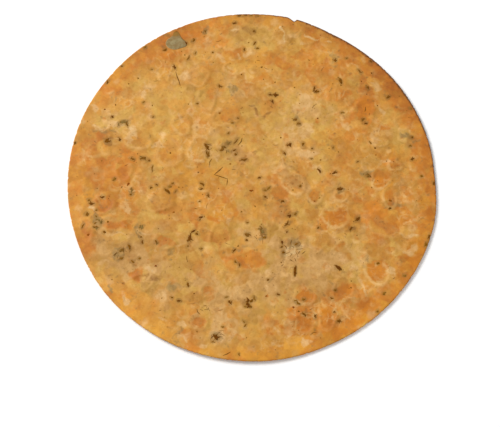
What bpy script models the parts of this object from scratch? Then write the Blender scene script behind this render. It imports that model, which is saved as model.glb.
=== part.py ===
"""One khakhra: a thin round flatbread, roasted until crisp, with dried fenugreek leaf baked into it.

It lies on its underside, +Z up, in metres, with the origin under the middle of its box. The bread is
one solid: the largest leaf flecks stand a little proud of the top and are fused to it.
"""

import math

import bpy
import numpy as np
from mathutils import Vector
from mathutils.geometry import delaunay_2d_cdt

MM = 0.001

# The sheet of dough.
MEAN_RADIUS = 90.0 * MM
DOUGH_THICKNESS = 1.65 * MM
EDGE_THINNING = 0.25 * MM
EDGE_THINNING_WIDTH = 9 * MM
EDGE_ROUNDING = 0.45 * MM
EDGE_SEGMENTS = 150

# How the rolled edge strays from a circle: waves round the edge, their height, angle of a crest.
EDGE_WAVES = (
    (3, 0.28 * MM, 132.0),
    (7, 0.10 * MM, 15.0),
    (12, 0.07 * MM, 8.0),
)

# One side was rolled a little shorter: the angle of its middle, its half width and the width of
# the stretch on both sides of it that leads back to the circle, in degrees, and its depth.
SHORT_SIDE_ANGLE = 33.0
SHORT_SIDE_HALF_WIDTH = 28.0
SHORT_SIDE_LEAD = 20.0
SHORT_SIDE_DEPTH = 2.0 * MM

# A crumb is broken out of the edge, steep on one side: its angle, reach to each side and depth.
CHIP_ANGLE = 76.1
CHIP_STEEP_SIDE = 0.6
CHIP_GENTLE_SIDE = 2.3
CHIP_DEPTH = 1.6 * MM

# The underside lies flat in the middle and curls up in places towards the edge.
FLAT_MIDDLE = 26 * MM
CURL_FROM = 46 * MM
FLAT_MIDDLE_CORNERS = 32
CURL_WAVES = (
    (2, 0.60 * MM, 62.0),
    (3, 0.38 * MM, 20.0),
)

# The top swells and sinks gently: wavelength, height, direction and phase in degrees.
SWELLS = (
    (47 * MM, 0.10 * MM, 17.0, 40.0),
    (36 * MM, 0.08 * MM, 78.0, 200.0),
    (29 * MM, 0.07 * MM, 131.0, 95.0),
    (21 * MM, 0.05 * MM, 48.0, 310.0),
)

# Roasted blisters: place of the middle and half widths along x and y, in millimetres. Each is a low
# plateau inside a raised ridge.
BLISTERS = (
    (39.5, -19.8, 6.4, 5.0), (64.0, -23.0, 8.0, 7.0), (59.0, -46.5, 6.0, 6.2),
    (62.0, 0.2, 4.2, 5.5), (66.2, -9.2, 3.4, 5.2), (69.2, 7.2, 3.0, 3.2),
    (62.4, 19.8, 3.4, 3.1), (55.0, 35.0, 4.6, 7.6), (20.0, -2.6, 5.2, 5.2),
    (30.2, -8.4, 3.7, 4.4), (43.0, -8.8, 3.1, 2.8), (24.8, -59.3, 4.6, 4.0),
    (24.0, -72.0, 5.2, 4.8), (35.0, -70.2, 4.0, 4.6), (42.5, -56.0, 4.6, 5.6),
    (-20.5, -56.0, 4.2, 3.2), (-25.5, -72.0, 4.2, 3.6), (-15.5, -30.0, 5.4, 6.0),
    (-1.5, -41.5, 8.4, 4.8), (-71.5, -12.6, 4.8, 4.6), (-42.0, -32.0, 4.8, 3.4),
    (-27.0, 15.0, 4.2, 6.4), (-40.5, 14.5, 6.2, 7.4), (-56.0, 20.5, 5.6, 5.0),
    (-27.0, 54.5, 5.4, 4.8), (-11.0, 59.0, 3.0, 2.8), (-62.5, 5.0, 3.6, 6.2),
    (24.5, 66.0, 6.2, 3.4), (15.5, 78.0, 4.6, 4.0), (27.0, 76.0, 4.0, 3.4),
    (-22.5, 42.5, 4.2, 5.2), (-13.5, 32.5, 6.0, 4.4), (43.5, 42.0, 5.4, 4.8),
    (74.0, 29.5, 3.8, 3.6), (-67.5, -23.0, 6.2, 3.4), (-79.5, -26.0, 3.2, 5.6),
    (77.0, -35.5, 4.2, 3.4), (-35.0, 28.5, 4.4, 4.6), (7.0, 12.0, 6.0, 5.0),
    (-52.0, -52.0, 5.4, 4.0), (30.0, -33.0, 5.0, 4.2), (-45.0, -12.0, 5.6, 4.4),
)
RIDGE_HEIGHT = 0.34 * MM
RIDGE_WIDTH = 0.24
PLATEAU_SHARE = 0.42
BLISTER_RINGS = ((0.62, 8), (1.0, 11), (1.38, 11))
BLISTER_KEEP_OUT = 1.62

# Leaf flecks: place of the middle, length, width in millimetres, and turn in degrees. The first is
# the one broad piece of leaf, and the rest run from the top of the bread to the bottom.
LEAF_FLECKS = (
    (-38.8, 73.4, 9.4, 6.0, -4),
    (-33.4, 73.2, 2.6, 1.3, -60), (-29.6, 74.6, 3.0, 1.2, 62), (-9.0, 84.5, 2.8, 1.3, 14),
    (-24.0, 79.5, 2.6, 1.2, 80), (-44.0, 69.4, 2.2, 1.2, 20), (-39.0, 60.0, 3.0, 1.5, -66),
    (-72.3, 51.7, 2.4, 1.0, 60), (-16.5, 49.4, 2.4, 1.2, -35), (0.6, 80.0, 1.8, 1.3, 10),
    (41.1, 63.4, 2.2, 1.4, -60), (53.3, 57.5, 2.8, 1.0, -45), (43.6, 52.2, 4.0, 1.1, -68),
    (57.0, 48.5, 2.6, 1.0, -72), (30.6, 48.0, 2.6, 1.3, 80), (31.8, 46.4, 3.0, 1.4, 10),
    (67.0, 43.2, 2.6, 1.4, 50), (11.4, 44.6, 2.8, 2.0, 30), (8.8, 44.8, 2.2, 1.3, -20),
    (9.8, 41.2, 2.4, 0.9, -80), (-63.7, 30.2, 4.4, 1.2, 4), (-61.8, 28.8, 2.8, 1.3, -64),
    (-65.8, 28.8, 2.6, 1.0, 86), (-69.2, 33.0, 1.7, 1.4, 0), (20.8, 31.4, 2.0, 1.2, 10),
    (22.8, 29.2, 2.2, 1.4, 0), (54.3, 31.3, 2.2, 1.6, 30), (55.4, 29.4, 2.2, 1.3, 5),
    (-71.3, 20.0, 2.8, 2.2, 30), (-65.2, 21.0, 2.2, 1.1, -50), (-22.2, 17.2, 4.2, 2.4, -80),
    (-21.8, 12.8, 3.4, 1.8, -72), (-15.0, 16.2, 3.6, 2.6, 60), (-12.2, 18.6, 3.4, 1.6, 28),
    (17.9, 17.9, 3.0, 2.6, 40), (15.5, 13.5, 2.4, 1.0, -52), (-8.3, 13.1, 1.7, 1.4, 0),
    (-53.0, 10.9, 4.0, 1.8, -4), (-58.6, 10.6, 2.8, 1.3, -28), (-4.4, 10.2, 4.2, 1.2, 2),
    (77.8, 10.5, 2.2, 1.4, 35), (55.6, 2.0, 3.2, 2.6, 20), (32.4, 4.4, 3.6, 1.4, -60),
    (39.6, 3.2, 2.6, 1.6, 38), (3.4, 0.7, 1.9, 1.2, 10), (42.2, -5.2, 2.9, 1.9, 10),
    (-24.6, -2.4, 3.2, 1.4, -42), (-24.9, -5.0, 2.2, 1.1, 30), (-41.3, -6.2, 4.0, 0.9, -46),
    (-21.6, -8.6, 2.8, 1.0, -72), (-72.3, -9.2, 2.2, 1.3, 12), (-77.6, -12.6, 3.2, 1.5, -22),
    (-58.4, -6.2, 3.6, 1.5, -60), (14.3, -11.3, 2.2, 1.1, 0), (6.0, -9.1, 1.7, 1.3, 0),
    (-79.8, -17.9, 2.2, 1.9, 60), (-24.8, -19.6, 2.9, 1.3, 25), (-73.4, -21.3, 3.4, 2.0, -48),
    (-74.4, -24.7, 2.6, 1.6, 30), (17.4, -18.9, 2.4, 1.7, 30), (50.3, -20.6, 3.8, 1.5, 50),
    (46.8, -25.4, 3.0, 1.5, 52), (16.4, -23.2, 4.2, 1.2, 50), (4.6, -26.0, 5.0, 2.2, -80),
    (-53.2, -24.4, 3.0, 1.8, 44), (-28.7, -26.9, 3.0, 1.1, 34), (-30.1, -30.6, 4.6, 2.0, 82),
    (-26.6, -28.0, 2.0, 1.3, -50), (-2.8, -28.4, 3.4, 1.8, -30), (14.0, -32.3, 2.1, 1.2, -62),
    (-62.4, -36.2, 3.0, 2.0, 20), (-46.1, -32.2, 2.4, 1.3, -64), (-8.9, -36.3, 2.5, 1.0, 54),
    (20.0, -46.6, 5.6, 1.1, 84), (40.4, -44.8, 5.2, 1.4, -42), (-30.5, -53.4, 2.6, 1.7, 80),
    (-34.7, -61.2, 2.4, 1.1, -10), (-2.3, -62.2, 4.2, 3.0, 76), (-10.8, -62.0, 2.8, 1.4, -60),
    (29.1, -68.8, 2.2, 1.2, 76), (24.1, -67.8, 2.8, 1.1, -36), (40.3, -71.0, 2.5, 1.4, 25),
    (-17.3, -79.0, 3.4, 1.7, -26),
)
FLECK_CORNERS = 7
BROAD_LEAF_CORNERS = 12
FLECK_PROUD = 0.20 * MM
FLECK_SUNK = 0.42 * MM
FLECK_TAPER = 0.72
FLECK_UNEVEN = 0.18
FLECK_SEED = 11

# Spacing of the points between the blisters, on the top and under the bread.
TOP_SPACING = 6.2 * MM
UNDERSIDE_SPACING = 9.0 * MM
EDGE_CLEARANCE = 2.2 * MM

BREAD_COLOUR = (0.62, 0.33, 0.085, 1.0)
BREAD_ROUGHNESS = 0.62


def smoothstep(low, high, value):
    share = np.clip((value - low) / (high - low), 0.0, 1.0)
    return share * share * (3.0 - 2.0 * share)


def edge_radius(angle):
    """How far the edge lies from the middle, in the direction of angle."""
    radius = np.full(np.shape(angle), MEAN_RADIUS)
    for waves, height, crest in EDGE_WAVES:
        radius = radius + height * np.cos(waves * (angle - math.radians(crest)))
    past_short = np.abs((np.degrees(angle) - SHORT_SIDE_ANGLE + 180.0) % 360.0 - 180.0)
    lead = smoothstep(0.0, SHORT_SIDE_LEAD, past_short - SHORT_SIDE_HALF_WIDTH)
    radius = radius - SHORT_SIDE_DEPTH * (1.0 - lead)
    past_chip = np.degrees(angle) % 360.0 - CHIP_ANGLE
    reach = np.where(past_chip < 0.0, CHIP_STEEP_SIDE, CHIP_GENTLE_SIDE)
    return radius - CHIP_DEPTH * np.clip(1.0 - np.abs(past_chip) / reach, 0.0, 1.0)


def lift(x, y):
    """Height of the underside above what the bread lies on."""
    radius = np.hypot(x, y)
    angle = np.arctan2(y, x)
    curl = np.zeros(np.shape(x))
    for waves, height, crest in CURL_WAVES:
        share = (radius / MEAN_RADIUS) ** waves
        curl = curl + height * share * np.cos(waves * (angle - math.radians(crest)))
    return np.maximum(curl, 0.0) * smoothstep(FLAT_MIDDLE, CURL_FROM, radius)


def swell(x, y):
    height = np.zeros(np.shape(x))
    for wavelength, depth, direction, phase in SWELLS:
        turn = math.radians(direction)
        along = x * math.cos(turn) + y * math.sin(turn)
        height = height + depth * np.sin(2.0 * math.pi * along / wavelength + math.radians(phase))
    return height


def blister_outline(blister, angle):
    """Half width of a blister in the direction of angle: an uneven oval."""
    x, y, half_x, half_y = blister
    uneven = 1.0 + 0.09 * np.cos(2.0 * angle + x) + 0.07 * np.cos(3.0 * angle + y)
    oval = 1.0 / np.hypot(np.cos(angle) / half_x, np.sin(angle) / half_y)
    return oval * uneven * MM


def blister_relief(x, y):
    """Height that the blisters add: the highest one counts where two meet."""
    relief = np.zeros(np.shape(x))
    for blister in BLISTERS:
        dx = x - blister[0] * MM
        dy = y - blister[1] * MM
        reach = np.hypot(dx, dy) / blister_outline(blister, np.arctan2(dy, dx))
        ridge = np.exp(-(((reach - 1.0) / RIDGE_WIDTH) ** 2))
        plateau = PLATEAU_SHARE * (1.0 - smoothstep(0.7, 1.1, reach))
        relief = np.maximum(relief, RIDGE_HEIGHT * np.maximum(ridge, plateau))
    return relief


def top_height(x, y):
    to_edge = edge_radius(np.arctan2(y, x)) - np.hypot(x, y)
    thinning = EDGE_THINNING * (1.0 - smoothstep(0.0, EDGE_THINNING_WIDTH, to_edge))
    thickness = DOUGH_THICKNESS - thinning
    inside = smoothstep(0.0, EDGE_THINNING_WIDTH, to_edge)
    return lift(x, y) + thickness + (swell(x, y) + blister_relief(x, y)) * inside


def edge_angles():
    """Angles of the corners round the edge: even steps, with the chip's own corners in their place."""
    chip_from = CHIP_ANGLE - CHIP_STEEP_SIDE
    chip_to = CHIP_ANGLE + CHIP_GENTLE_SIDE
    step = 360.0 / EDGE_SEGMENTS
    even = [index * step for index in range(EDGE_SEGMENTS)]
    clear = [angle for angle in even if not chip_from - step / 2 < angle < chip_to + step / 2]
    return np.radians(sorted(clear + [chip_from, CHIP_ANGLE, chip_to]))


def ring_points(angles, inset):
    radius = edge_radius(angles) - inset
    return np.stack([radius * np.cos(angles), radius * np.sin(angles)], axis=1)


def hexagonal_points(spacing, clear_of_edge):
    """Points of an even triangular grid that lie further in than clear_of_edge."""
    rows = int(MEAN_RADIUS / (spacing * math.sin(math.pi / 3))) + 1
    columns = int(MEAN_RADIUS / spacing) + 1
    points = []
    for row in range(-rows, rows + 1):
        for column in range(-columns, columns + 1):
            x = (column + 0.5 * (row % 2)) * spacing
            y = row * spacing * math.sin(math.pi / 3)
            points.append((x, y))
    points = np.array(points)
    limit = edge_radius(np.arctan2(points[:, 1], points[:, 0])) - clear_of_edge
    return points[np.hypot(points[:, 0], points[:, 1]) < limit]


def outside_blisters(points, keep_out, blisters):
    """The points that are further than keep_out half widths from the middle of each blister."""
    for blister in blisters:
        dx = points[:, 0] - blister[0] * MM
        dy = points[:, 1] - blister[1] * MM
        reach = np.hypot(dx, dy) / blister_outline(blister, np.arctan2(dy, dx))
        points = points[reach > keep_out]
    return points


def blister_points():
    """Points on the crest, inner foot and outer foot of each blister's ridge, and at its middle."""
    kept = []
    for order, blister in enumerate(BLISTERS):
        own = [np.array([[blister[0] * MM, blister[1] * MM]])]
        for share, corners in BLISTER_RINGS:
            angles = np.arange(corners) * (2.0 * math.pi / corners) + share
            reach = blister_outline(blister, angles) * share
            own.append(own[0] + np.stack([reach * np.cos(angles), reach * np.sin(angles)], axis=1))
        own = outside_blisters(np.concatenate(own), 1.2, BLISTERS[:order])
        limit = edge_radius(np.arctan2(own[:, 1], own[:, 0])) - EDGE_CLEARANCE
        kept.append(own[np.hypot(own[:, 0], own[:, 1]) < limit])
    return np.concatenate(kept)


def filled_outline(outline, inner):
    """Corners and triangles that fill the outline, which keeps its order, through the inner points."""
    corners = [Vector(point) for point in np.concatenate([outline, inner])]
    loop = list(range(len(outline)))
    filled = delaunay_2d_cdt(corners, [], [loop], 1, 1e-9)
    points = np.array([tuple(point) for point in filled[0]])
    return points, [tuple(face) for face in filled[2]]


def bread_mesh():
    """The sheet of dough: top, underside and the rounded edge between them."""
    angles = edge_angles()
    count = len(angles)

    top_inner = outside_blisters(
        hexagonal_points(TOP_SPACING, EDGE_CLEARANCE * 1.5), BLISTER_KEEP_OUT, BLISTERS
    )
    top_inner = np.concatenate([blister_points(), top_inner])
    top, top_faces = filled_outline(ring_points(angles, EDGE_ROUNDING), top_inner)

    middle_angles = np.arange(FLAT_MIDDLE_CORNERS) * (2.0 * math.pi / FLAT_MIDDLE_CORNERS)
    middle = FLAT_MIDDLE * np.stack([np.cos(middle_angles), np.sin(middle_angles)], axis=1)
    below = hexagonal_points(UNDERSIDE_SPACING, EDGE_CLEARANCE * 2)
    below = below[np.hypot(below[:, 0], below[:, 1]) > FLAT_MIDDLE + UNDERSIDE_SPACING / 2]
    below = np.concatenate([middle, below])
    under, under_faces = filled_outline(ring_points(angles, EDGE_ROUNDING), below)

    rim = ring_points(angles, 0.0)
    rim_top = top_height(*ring_points(angles, EDGE_ROUNDING).T) - EDGE_ROUNDING
    rim_under = lift(*ring_points(angles, EDGE_ROUNDING).T) + EDGE_ROUNDING

    corners = [(x, y, z) for (x, y), z in zip(top, top_height(*top.T))]
    upper = len(corners)
    corners += [(x, y, z) for (x, y), z in zip(rim, rim_top)]
    lower = len(corners)
    corners += [(x, y, z) for (x, y), z in zip(rim, rim_under)]
    bottom = len(corners)
    corners += [(x, y, z) for (x, y), z in zip(under, lift(*under.T))]

    faces = list(top_faces)
    for first, second in ((0, upper), (upper, lower), (lower, bottom)):
        for index in range(count):
            after = (index + 1) % count
            faces.append((first + index, second + index, second + after, first + after))
    faces += [tuple(bottom + corner for corner in reversed(face)) for face in under_faces]
    return corners, faces


def fleck_mesh(x, y, length, width, turn, corners, random):
    """A scrap of leaf, its lower half in the dough: an uneven outline that narrows to its top."""
    turn = math.radians(turn)
    angles = (np.arange(corners) + random.uniform(-0.22, 0.22, corners)) * 2.0 * math.pi / corners
    uneven = 1.0 + random.uniform(-FLECK_UNEVEN, FLECK_UNEVEN, corners)
    along = 0.5 * length * MM * uneven * np.cos(angles)
    across = 0.5 * width * MM * uneven * np.sin(angles)
    out = np.stack(
        [
            along * math.cos(turn) - across * math.sin(turn),
            along * math.sin(turn) + across * math.cos(turn),
        ],
        axis=1,
    )
    middle = np.array([x * MM, y * MM])
    foot = middle + out
    brow = middle + out * FLECK_TAPER
    foot_height = top_height(*foot.T) - FLECK_SUNK
    brow_height = top_height(*brow.T) + FLECK_PROUD * random.uniform(0.6, 1.0, corners)
    crown_height = float(top_height(*middle)) + FLECK_PROUD

    points = [(px, py, pz) for (px, py), pz in zip(foot, foot_height)]
    points += [(px, py, pz) for (px, py), pz in zip(brow, brow_height)]
    points.append((middle[0], middle[1], crown_height))
    crown = len(points) - 1
    faces = [tuple(reversed(range(corners)))]
    for index in range(corners):
        after = (index + 1) % corners
        faces.append((index, after, corners + after, corners + index))
        faces.append((corners + index, corners + after, crown))
    return points, faces


def new_object(name, points, faces, collection):
    mesh = bpy.data.meshes.new(name)
    mesh.from_pydata([tuple(map(float, point)) for point in points], [], faces)
    mesh.validate()
    obj = bpy.data.objects.new(name, mesh)
    collection.objects.link(obj)
    return obj


def fuse_flecks(bread):
    """Joins the leaf flecks to the bread by one union."""
    flecks = bpy.data.collections.new("leaf_flecks")
    bpy.context.scene.collection.children.link(flecks)
    random = np.random.default_rng(FLECK_SEED)
    for order, (x, y, length, width, turn) in enumerate(LEAF_FLECKS):
        corners = FLECK_CORNERS if order else BROAD_LEAF_CORNERS
        points, faces = fleck_mesh(x, y, length, width, turn, corners, random)
        new_object(f"fleck_{order:02d}", points, faces, flecks)

    union = bread.modifiers.new("flecks", "BOOLEAN")
    union.operation = "UNION"
    union.operand_type = "COLLECTION"
    union.collection = flecks
    union.solver = "EXACT"
    graph = bpy.context.evaluated_depsgraph_get()
    fused = bpy.data.meshes.new_from_object(bread.evaluated_get(graph))
    bread.modifiers.clear()
    bread.data = fused
    for fleck in list(flecks.objects):
        bpy.data.objects.remove(fleck)
    bpy.data.collections.remove(flecks)


def centre_on_box(obj):
    """Moves the mesh so that the origin is under the middle of its box."""
    points = np.array([vertex.co for vertex in obj.data.vertices])
    low, high = points.min(axis=0), points.max(axis=0)
    offset = Vector((-(low[0] + high[0]) / 2, -(low[1] + high[1]) / 2, -low[2]))
    for vertex in obj.data.vertices:
        vertex.co += offset


def bread_material():
    material = bpy.data.materials.new("roasted_dough")
    material.use_nodes = True
    shader = material.node_tree.nodes["Principled BSDF"]
    shader.inputs["Base Color"].default_value = BREAD_COLOUR
    shader.inputs["Roughness"].default_value = BREAD_ROUGHNESS
    shader.inputs["Metallic"].default_value = 0.0
    return material


def main():
    for obj in list(bpy.data.objects):
        bpy.data.objects.remove(obj)
    points, faces = bread_mesh()
    bread = new_object("khakhra", points, faces, bpy.context.scene.collection)
    fuse_flecks(bread)
    centre_on_box(bread)
    bread.data.materials.clear()
    bread.data.materials.append(bread_material())
    bread.data.shade_smooth()
    bread.data.set_sharp_from_angle(angle=math.radians(50))


main()
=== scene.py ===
"""The looks of one khakhra: a crisp roasted flatbread with dried fenugreek leaf baked into it.

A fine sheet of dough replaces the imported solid, on the same outline, curl, swells and blisters. It
adds the small bubbles, the fine relief and the roasting. Leaf, stalks and specks are meshes of their
own, half sunk in the dough. Lengths are in millimetres where a name or a comment says so, and else
in metres.
"""

import math

import bpy
import numpy as np
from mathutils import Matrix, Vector


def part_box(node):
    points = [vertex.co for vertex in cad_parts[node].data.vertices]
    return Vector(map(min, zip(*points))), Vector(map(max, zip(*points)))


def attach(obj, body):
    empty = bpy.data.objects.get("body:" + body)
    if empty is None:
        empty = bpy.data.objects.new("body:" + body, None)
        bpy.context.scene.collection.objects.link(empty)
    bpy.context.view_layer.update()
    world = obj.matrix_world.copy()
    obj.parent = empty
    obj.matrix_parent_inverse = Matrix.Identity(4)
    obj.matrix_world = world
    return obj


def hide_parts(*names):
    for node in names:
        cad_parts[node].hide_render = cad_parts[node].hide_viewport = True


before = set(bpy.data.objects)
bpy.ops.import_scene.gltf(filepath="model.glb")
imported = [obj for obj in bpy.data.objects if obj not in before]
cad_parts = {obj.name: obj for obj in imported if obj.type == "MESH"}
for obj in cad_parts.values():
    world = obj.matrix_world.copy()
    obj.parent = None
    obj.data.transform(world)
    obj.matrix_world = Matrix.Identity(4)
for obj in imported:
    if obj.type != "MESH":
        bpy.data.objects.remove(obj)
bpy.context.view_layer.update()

MM = 0.001

# The sheet of dough, as packed.
MEAN_RADIUS = 90.0 * MM
DOUGH_THICKNESS = 1.65 * MM
EDGE_THINNING = 0.25 * MM
EDGE_THINNING_WIDTH = 9 * MM
EDGE_ROUNDING = 0.45 * MM
EDGE_WAVES = (
    (3, 0.28 * MM, 132),
    (7, 0.10 * MM, 15),
    (12, 0.07 * MM, 8),
)
SHORT_SIDE_ANGLE = 33.0
SHORT_SIDE_HALF_WIDTH = 28.0
SHORT_SIDE_LEAD = 20.0
SHORT_SIDE_DEPTH = 2.0 * MM
CHIP_ANGLE = 76.1
CHIP_STEEP_SIDE = 0.6
CHIP_GENTLE_SIDE = 2.3
CHIP_DEPTH = 1.6 * MM
FLAT_MIDDLE = 26 * MM
CURL_FROM = 46 * MM
CURL_WAVES = (
    (2, 0.60 * MM, 62),
    (3, 0.38 * MM, 20),
)
SWELLS = (
    (47 * MM, 0.10 * MM, 17, 40),
    (36 * MM, 0.08 * MM, 78, 200),
    (29 * MM, 0.07 * MM, 131, 95),
    (21 * MM, 0.05 * MM, 48, 310),
)
# A blister's form: the height of its ridge, the ridge's width as a share of the half width, the
# height of the skin inside as a share of the ridge's, and where that skin starts to fall.
BLISTER_FORM = (0.34 * MM, 0.24, 0.42, 0.7)

# Blisters: place of the middle and half widths along x and y in mm, as packed. Then, from 0 to 1,
# how toasted the skin inside is and how pale the ridge is.
BLISTERS = (
    (39.5, -19.8, 6.4, 5, 1, 1), (64, -23, 8, 7, 0.45, 0.3),
    (59, -46.5, 6, 6.2, 0.9, 1), (62, 0.2, 4.2, 5.5, 0.6, 1),
    (66.2, -9.2, 3.4, 5.2, 0.6, 0.8), (69.2, 7.2, 3, 3.2, 0.5, 1),
    (62.4, 19.8, 3.4, 3.1, 0.1, 0.8), (55, 35, 4.6, 7.6, 0.75, 0.1),
    (20, -2.6, 5.2, 5.2, 0.3, 1), (30.2, -8.4, 3.7, 4.4, 0.5, 0.9),
    (43, -8.8, 3.1, 2.8, 0.2, 0.8), (24.8, -59.3, 4.6, 4, 0.8, 0.5),
    (24, -72, 5.2, 4.8, 0.9, 0.3), (35, -70.2, 4, 4.6, 0.9, 0.2),
    (42.5, -56, 4.6, 5.6, 0.6, 0.2), (-20.5, -56, 4.2, 3.2, 0.5, 0.4),
    (-25.5, -72, 4.2, 3.6, 0.6, 0.3), (-15.5, -30, 5.4, 6, 0.4, 0.2),
    (-1.5, -41.5, 8.4, 4.8, 0.6, 0.1), (-71.5, -12.6, 4.8, 4.6, 0.8, 0.2),
    (-42, -32, 4.8, 3.4, 0.6, 0.3), (-27, 15, 4.2, 6.4, 0, 1),
    (-40.5, 14.5, 6.2, 7.4, 0.1, 0.4), (-56, 20.5, 5.6, 5, 0.2, 0.6),
    (-27, 54.5, 5.4, 4.8, 0.3, 0.5), (-11, 59, 3, 2.8, 0.1, 0.8),
    (-62.5, 5, 3.6, 6.2, 0.7, 0), (24.5, 66, 6.2, 3.4, 0.5, 0.1),
    (15.5, 78, 4.6, 4, 0.1, 0.4), (27, 76, 4, 3.4, 0.3, 0.5),
    (-22.5, 42.5, 4.2, 5.2, 0.25, 0.3), (-13.5, 32.5, 6, 4.4, 0.1, 0.3),
    (43.5, 42, 5.4, 4.8, 0.4, 0.1), (74, 29.5, 3.8, 3.6, 0.3, 0.4),
    (-67.5, -23, 6.2, 3.4, 0.6, 0.2), (-79.5, -26, 3.2, 5.6, 0.5, 0.2),
    (77, -35.5, 4.2, 3.4, 0.1, 0.8), (-35, 28.5, 4.4, 4.6, 0.1, 0.6),
    (7, 12, 6, 5, 0.1, 0.2), (-52, -52, 5.4, 4, 0.2, 0.3),
    (30, -33, 5, 4.2, 0.2, 0.4), (-45, -12, 5.6, 4.4, 0.2, 0.3),
)

# Small bubbles between the blisters: how many are tried, how far out, their radius, how oval they
# are, their form as above, how toasted and how pale they are at most, and how far they keep from
# each other and, in half widths, from a blister's middle. The share of the tries that counts is
# largest at the edge towards BUBBLE_SIDE, in degrees.
BUBBLE_TRIES = 2200
BUBBLE_REACH = 0.95
BUBBLE_RADIUS = (0.9 * MM, 2.4 * MM)
BUBBLE_OVAL = (0.75, 1.3)
BUBBLE_FORM = (0.11 * MM, 0.3, 0.7, 0.5)
BUBBLE_TOAST = 0.5
BUBBLE_PALE = 0.8
BUBBLE_GAP = 0.5 * MM
BUBBLE_CLEARANCE = 1.3
BUBBLE_SIDE = -35.0
BUBBLE_SHARE = 0.55
BUBBLE_SHARE_CHANGE = 0.45
BUBBLE_SEED = 5

# Noise for the relief and the underside: the wavelength, how many waves are added up, and the seed.
# The crumbling edge is read on a circle of radius 1.
WRINKLE_FIELD = (9 * MM, 26, 21)
WRINKLE_PATCHES = (30 * MM, 18, 24)
GRAIN_FIELD = (4.2 * MM, 24, 22)
FINE_GRAIN_FIELD = (2.2 * MM, 24, 23)
HOLLOW_FIELD = (19 * MM, 16, 31)
PIT_FIELD = (5.5 * MM, 20, 32)
CRUMBLE_FIELD = (0.028, 30, 41)
UNDER_TOAST_FIELD = (17 * MM, 16, 51)
UNDER_PALE_FIELD = (14 * MM, 16, 52)

# The fine relief: the height of the thin creases, their width as a share of their noise's spread,
# the height of the grain, and how far all of it is lowered. Then the depth of the underside's
# hollows and pits and of the crumbled edge, and the noise at which they start.
WRINKLE_HEIGHT = 0.09 * MM
WRINKLE_WIDTH = 0.32
GRAIN_HEIGHT = 0.022 * MM
FINE_GRAIN_HEIGHT = 0.012 * MM
FINE_RELIEF_DROP = 0.03 * MM
HOLLOW_DEPTH = 0.10 * MM
PIT_DEPTH = 0.08 * MM
PITS_FROM = 0.6
CRUMBLE_DEPTH = 0.16 * MM
CRUMBLE_FROM = 0.4
CRUMBLE_MOST = 1.5

# Broad tones of the roasting: place, half length and half width in mm, turn in degrees, and how
# much lighter, more orange and duller the dough is there. A tone of 1 is a strong one.
TONES = (
    (-58, 44, 24, 13, 45, 0.2, -0.1, 0), (-70, 32, 10, 7, 0, 0.3, -0.6, 0.15),
    (-45, 42, 10, 8, 0, 0.2, -0.85, 0.25), (-48, 24, 16, 9, 0, 0.25, 0.1, 0),
    (-28, 32, 12, 12, 0, 0.3, -0.1, -0.15), (25, 31, 11, 14, -20, 0.3, -1.1, 0.4),
    (8, 32, 14, 14, 0, 0.1, -0.6, 0), (-12, 15, 13, 7, 0, -0.3, -1.1, 0.4),
    (8, 75, 16, 8, 0, -0.15, -0.85, 0), (-8, 68, 5, 4, 0, 0.4, 0.3, 0),
    (25, 64, 20, 6, 5, 0.1, 0.6, -0.3), (0, 62, 12, 8, 0, 0.1, 0.1, -0.4),
    (-68, 58, 20, 8, 48, -0.1, 1.1, -0.15),
    (-44, 75, 15, 6, 30, -0.5, 1.2, 0), (-83, 5, 12, 7, 90, 0, 0.7, -0.55),
    (-67, -4, 9, 15, 0, 0.05, 1, -0.6), (-50, 8, 5, 12, 0, -0.1, -0.6, 0.15),
    (-30, 5, 12, 12, 0, 0.1, 0.1, -0.55), (-80, -33, 6, 8, 0, 0, 0.7, -0.2),
    (-55, -32, 20, 14, 0, -0.45, -0.6, 0.7), (-68, -36, 8, 7, 0, -0.3, -0.3, 0.2),
    (-45, -48, 20, 12, 0, -0.2, -0.5, 0.7), (-15, -62, 18, 12, 0, -0.2, -0.35, 0.4),
    (-16, -79, 8, 5, 0, 0, -0.7, 0.85), (-25, -72, 6, 6, 0, -0.3, 0.35, 0.15),
    (-2, -40, 8, 5, 0, 0, 0.95, 0), (17, -36, 9, 8, 0, -0.2, -1.2, 1.1),
    (25, -46, 26, 14, 0, -0.1, -0.7, 0.85), (5, -54, 12, 9, 0, -0.2, -0.7, 0.4),
    (48, -40, 16, 10, 0, 0.1, -0.35, 0.4), (64, -20, 16, 9, -10, 0.3, 0.95, 0),
    (75, -5, 10, 16, 0, -0.1, 0.25, 0), (30, -70, 18, 8, 0, 0.1, 1.2, -0.1),
    (42, -56, 7, 6, 0, -0.2, 0.85, 0), (60, -62, 14, 9, 45, 0.3, 1.1, -0.3),
    (78, -38, 7, 12, -30, -0.1, 0.95, 0), (55, 37, 6, 10, 0, -0.1, 0.95, 0),
    (45, 12, 16, 12, 0, -0.1, 0.35, -0.3), (30, 5, 7, 10, 0, 0.1, -0.5, 0.3),
    (64, 20, 8, 6, 0, 0, -0.5, 0.15), (68, 10, 14, 8, 0, -0.1, 0.35, 0),
    (75, 22, 7, 4, 0, 0, -0.6, 0.3), (43, 43, 9, 7, 0, -0.3, 0.2, 0),
    (38, 76, 14, 7, -30, -0.3, 0.35, 0), (-20, -15, 12, 12, 0, 0.2, 0.25, -0.4),
    (-38, -8, 12, 10, 0, -0.1, -0.25, -0.3), (5, -25, 10, 10, 0, -0.3, -0.5, 0.3),
    (18, -2, 10, 8, 0, 0, 0.35, 0), (-12, 48, 5, 8, 0, 0, -0.6, 0.3),
    (-2.5, 79, 7, 5, 0, -0.4, -0.25, 0.3), (-30, -31, 6, 6, 0, -0.5, -0.35, 0.3),
    (64, 54, 24, 6, -50, -0.6, 0.7, -0.2), (-74, 21, 6, 5, 0, -0.5, 0.1, 0.3),
    (-55, -62, 12, 8, -45, 0.2, 0.35, -0.3),
)
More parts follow.
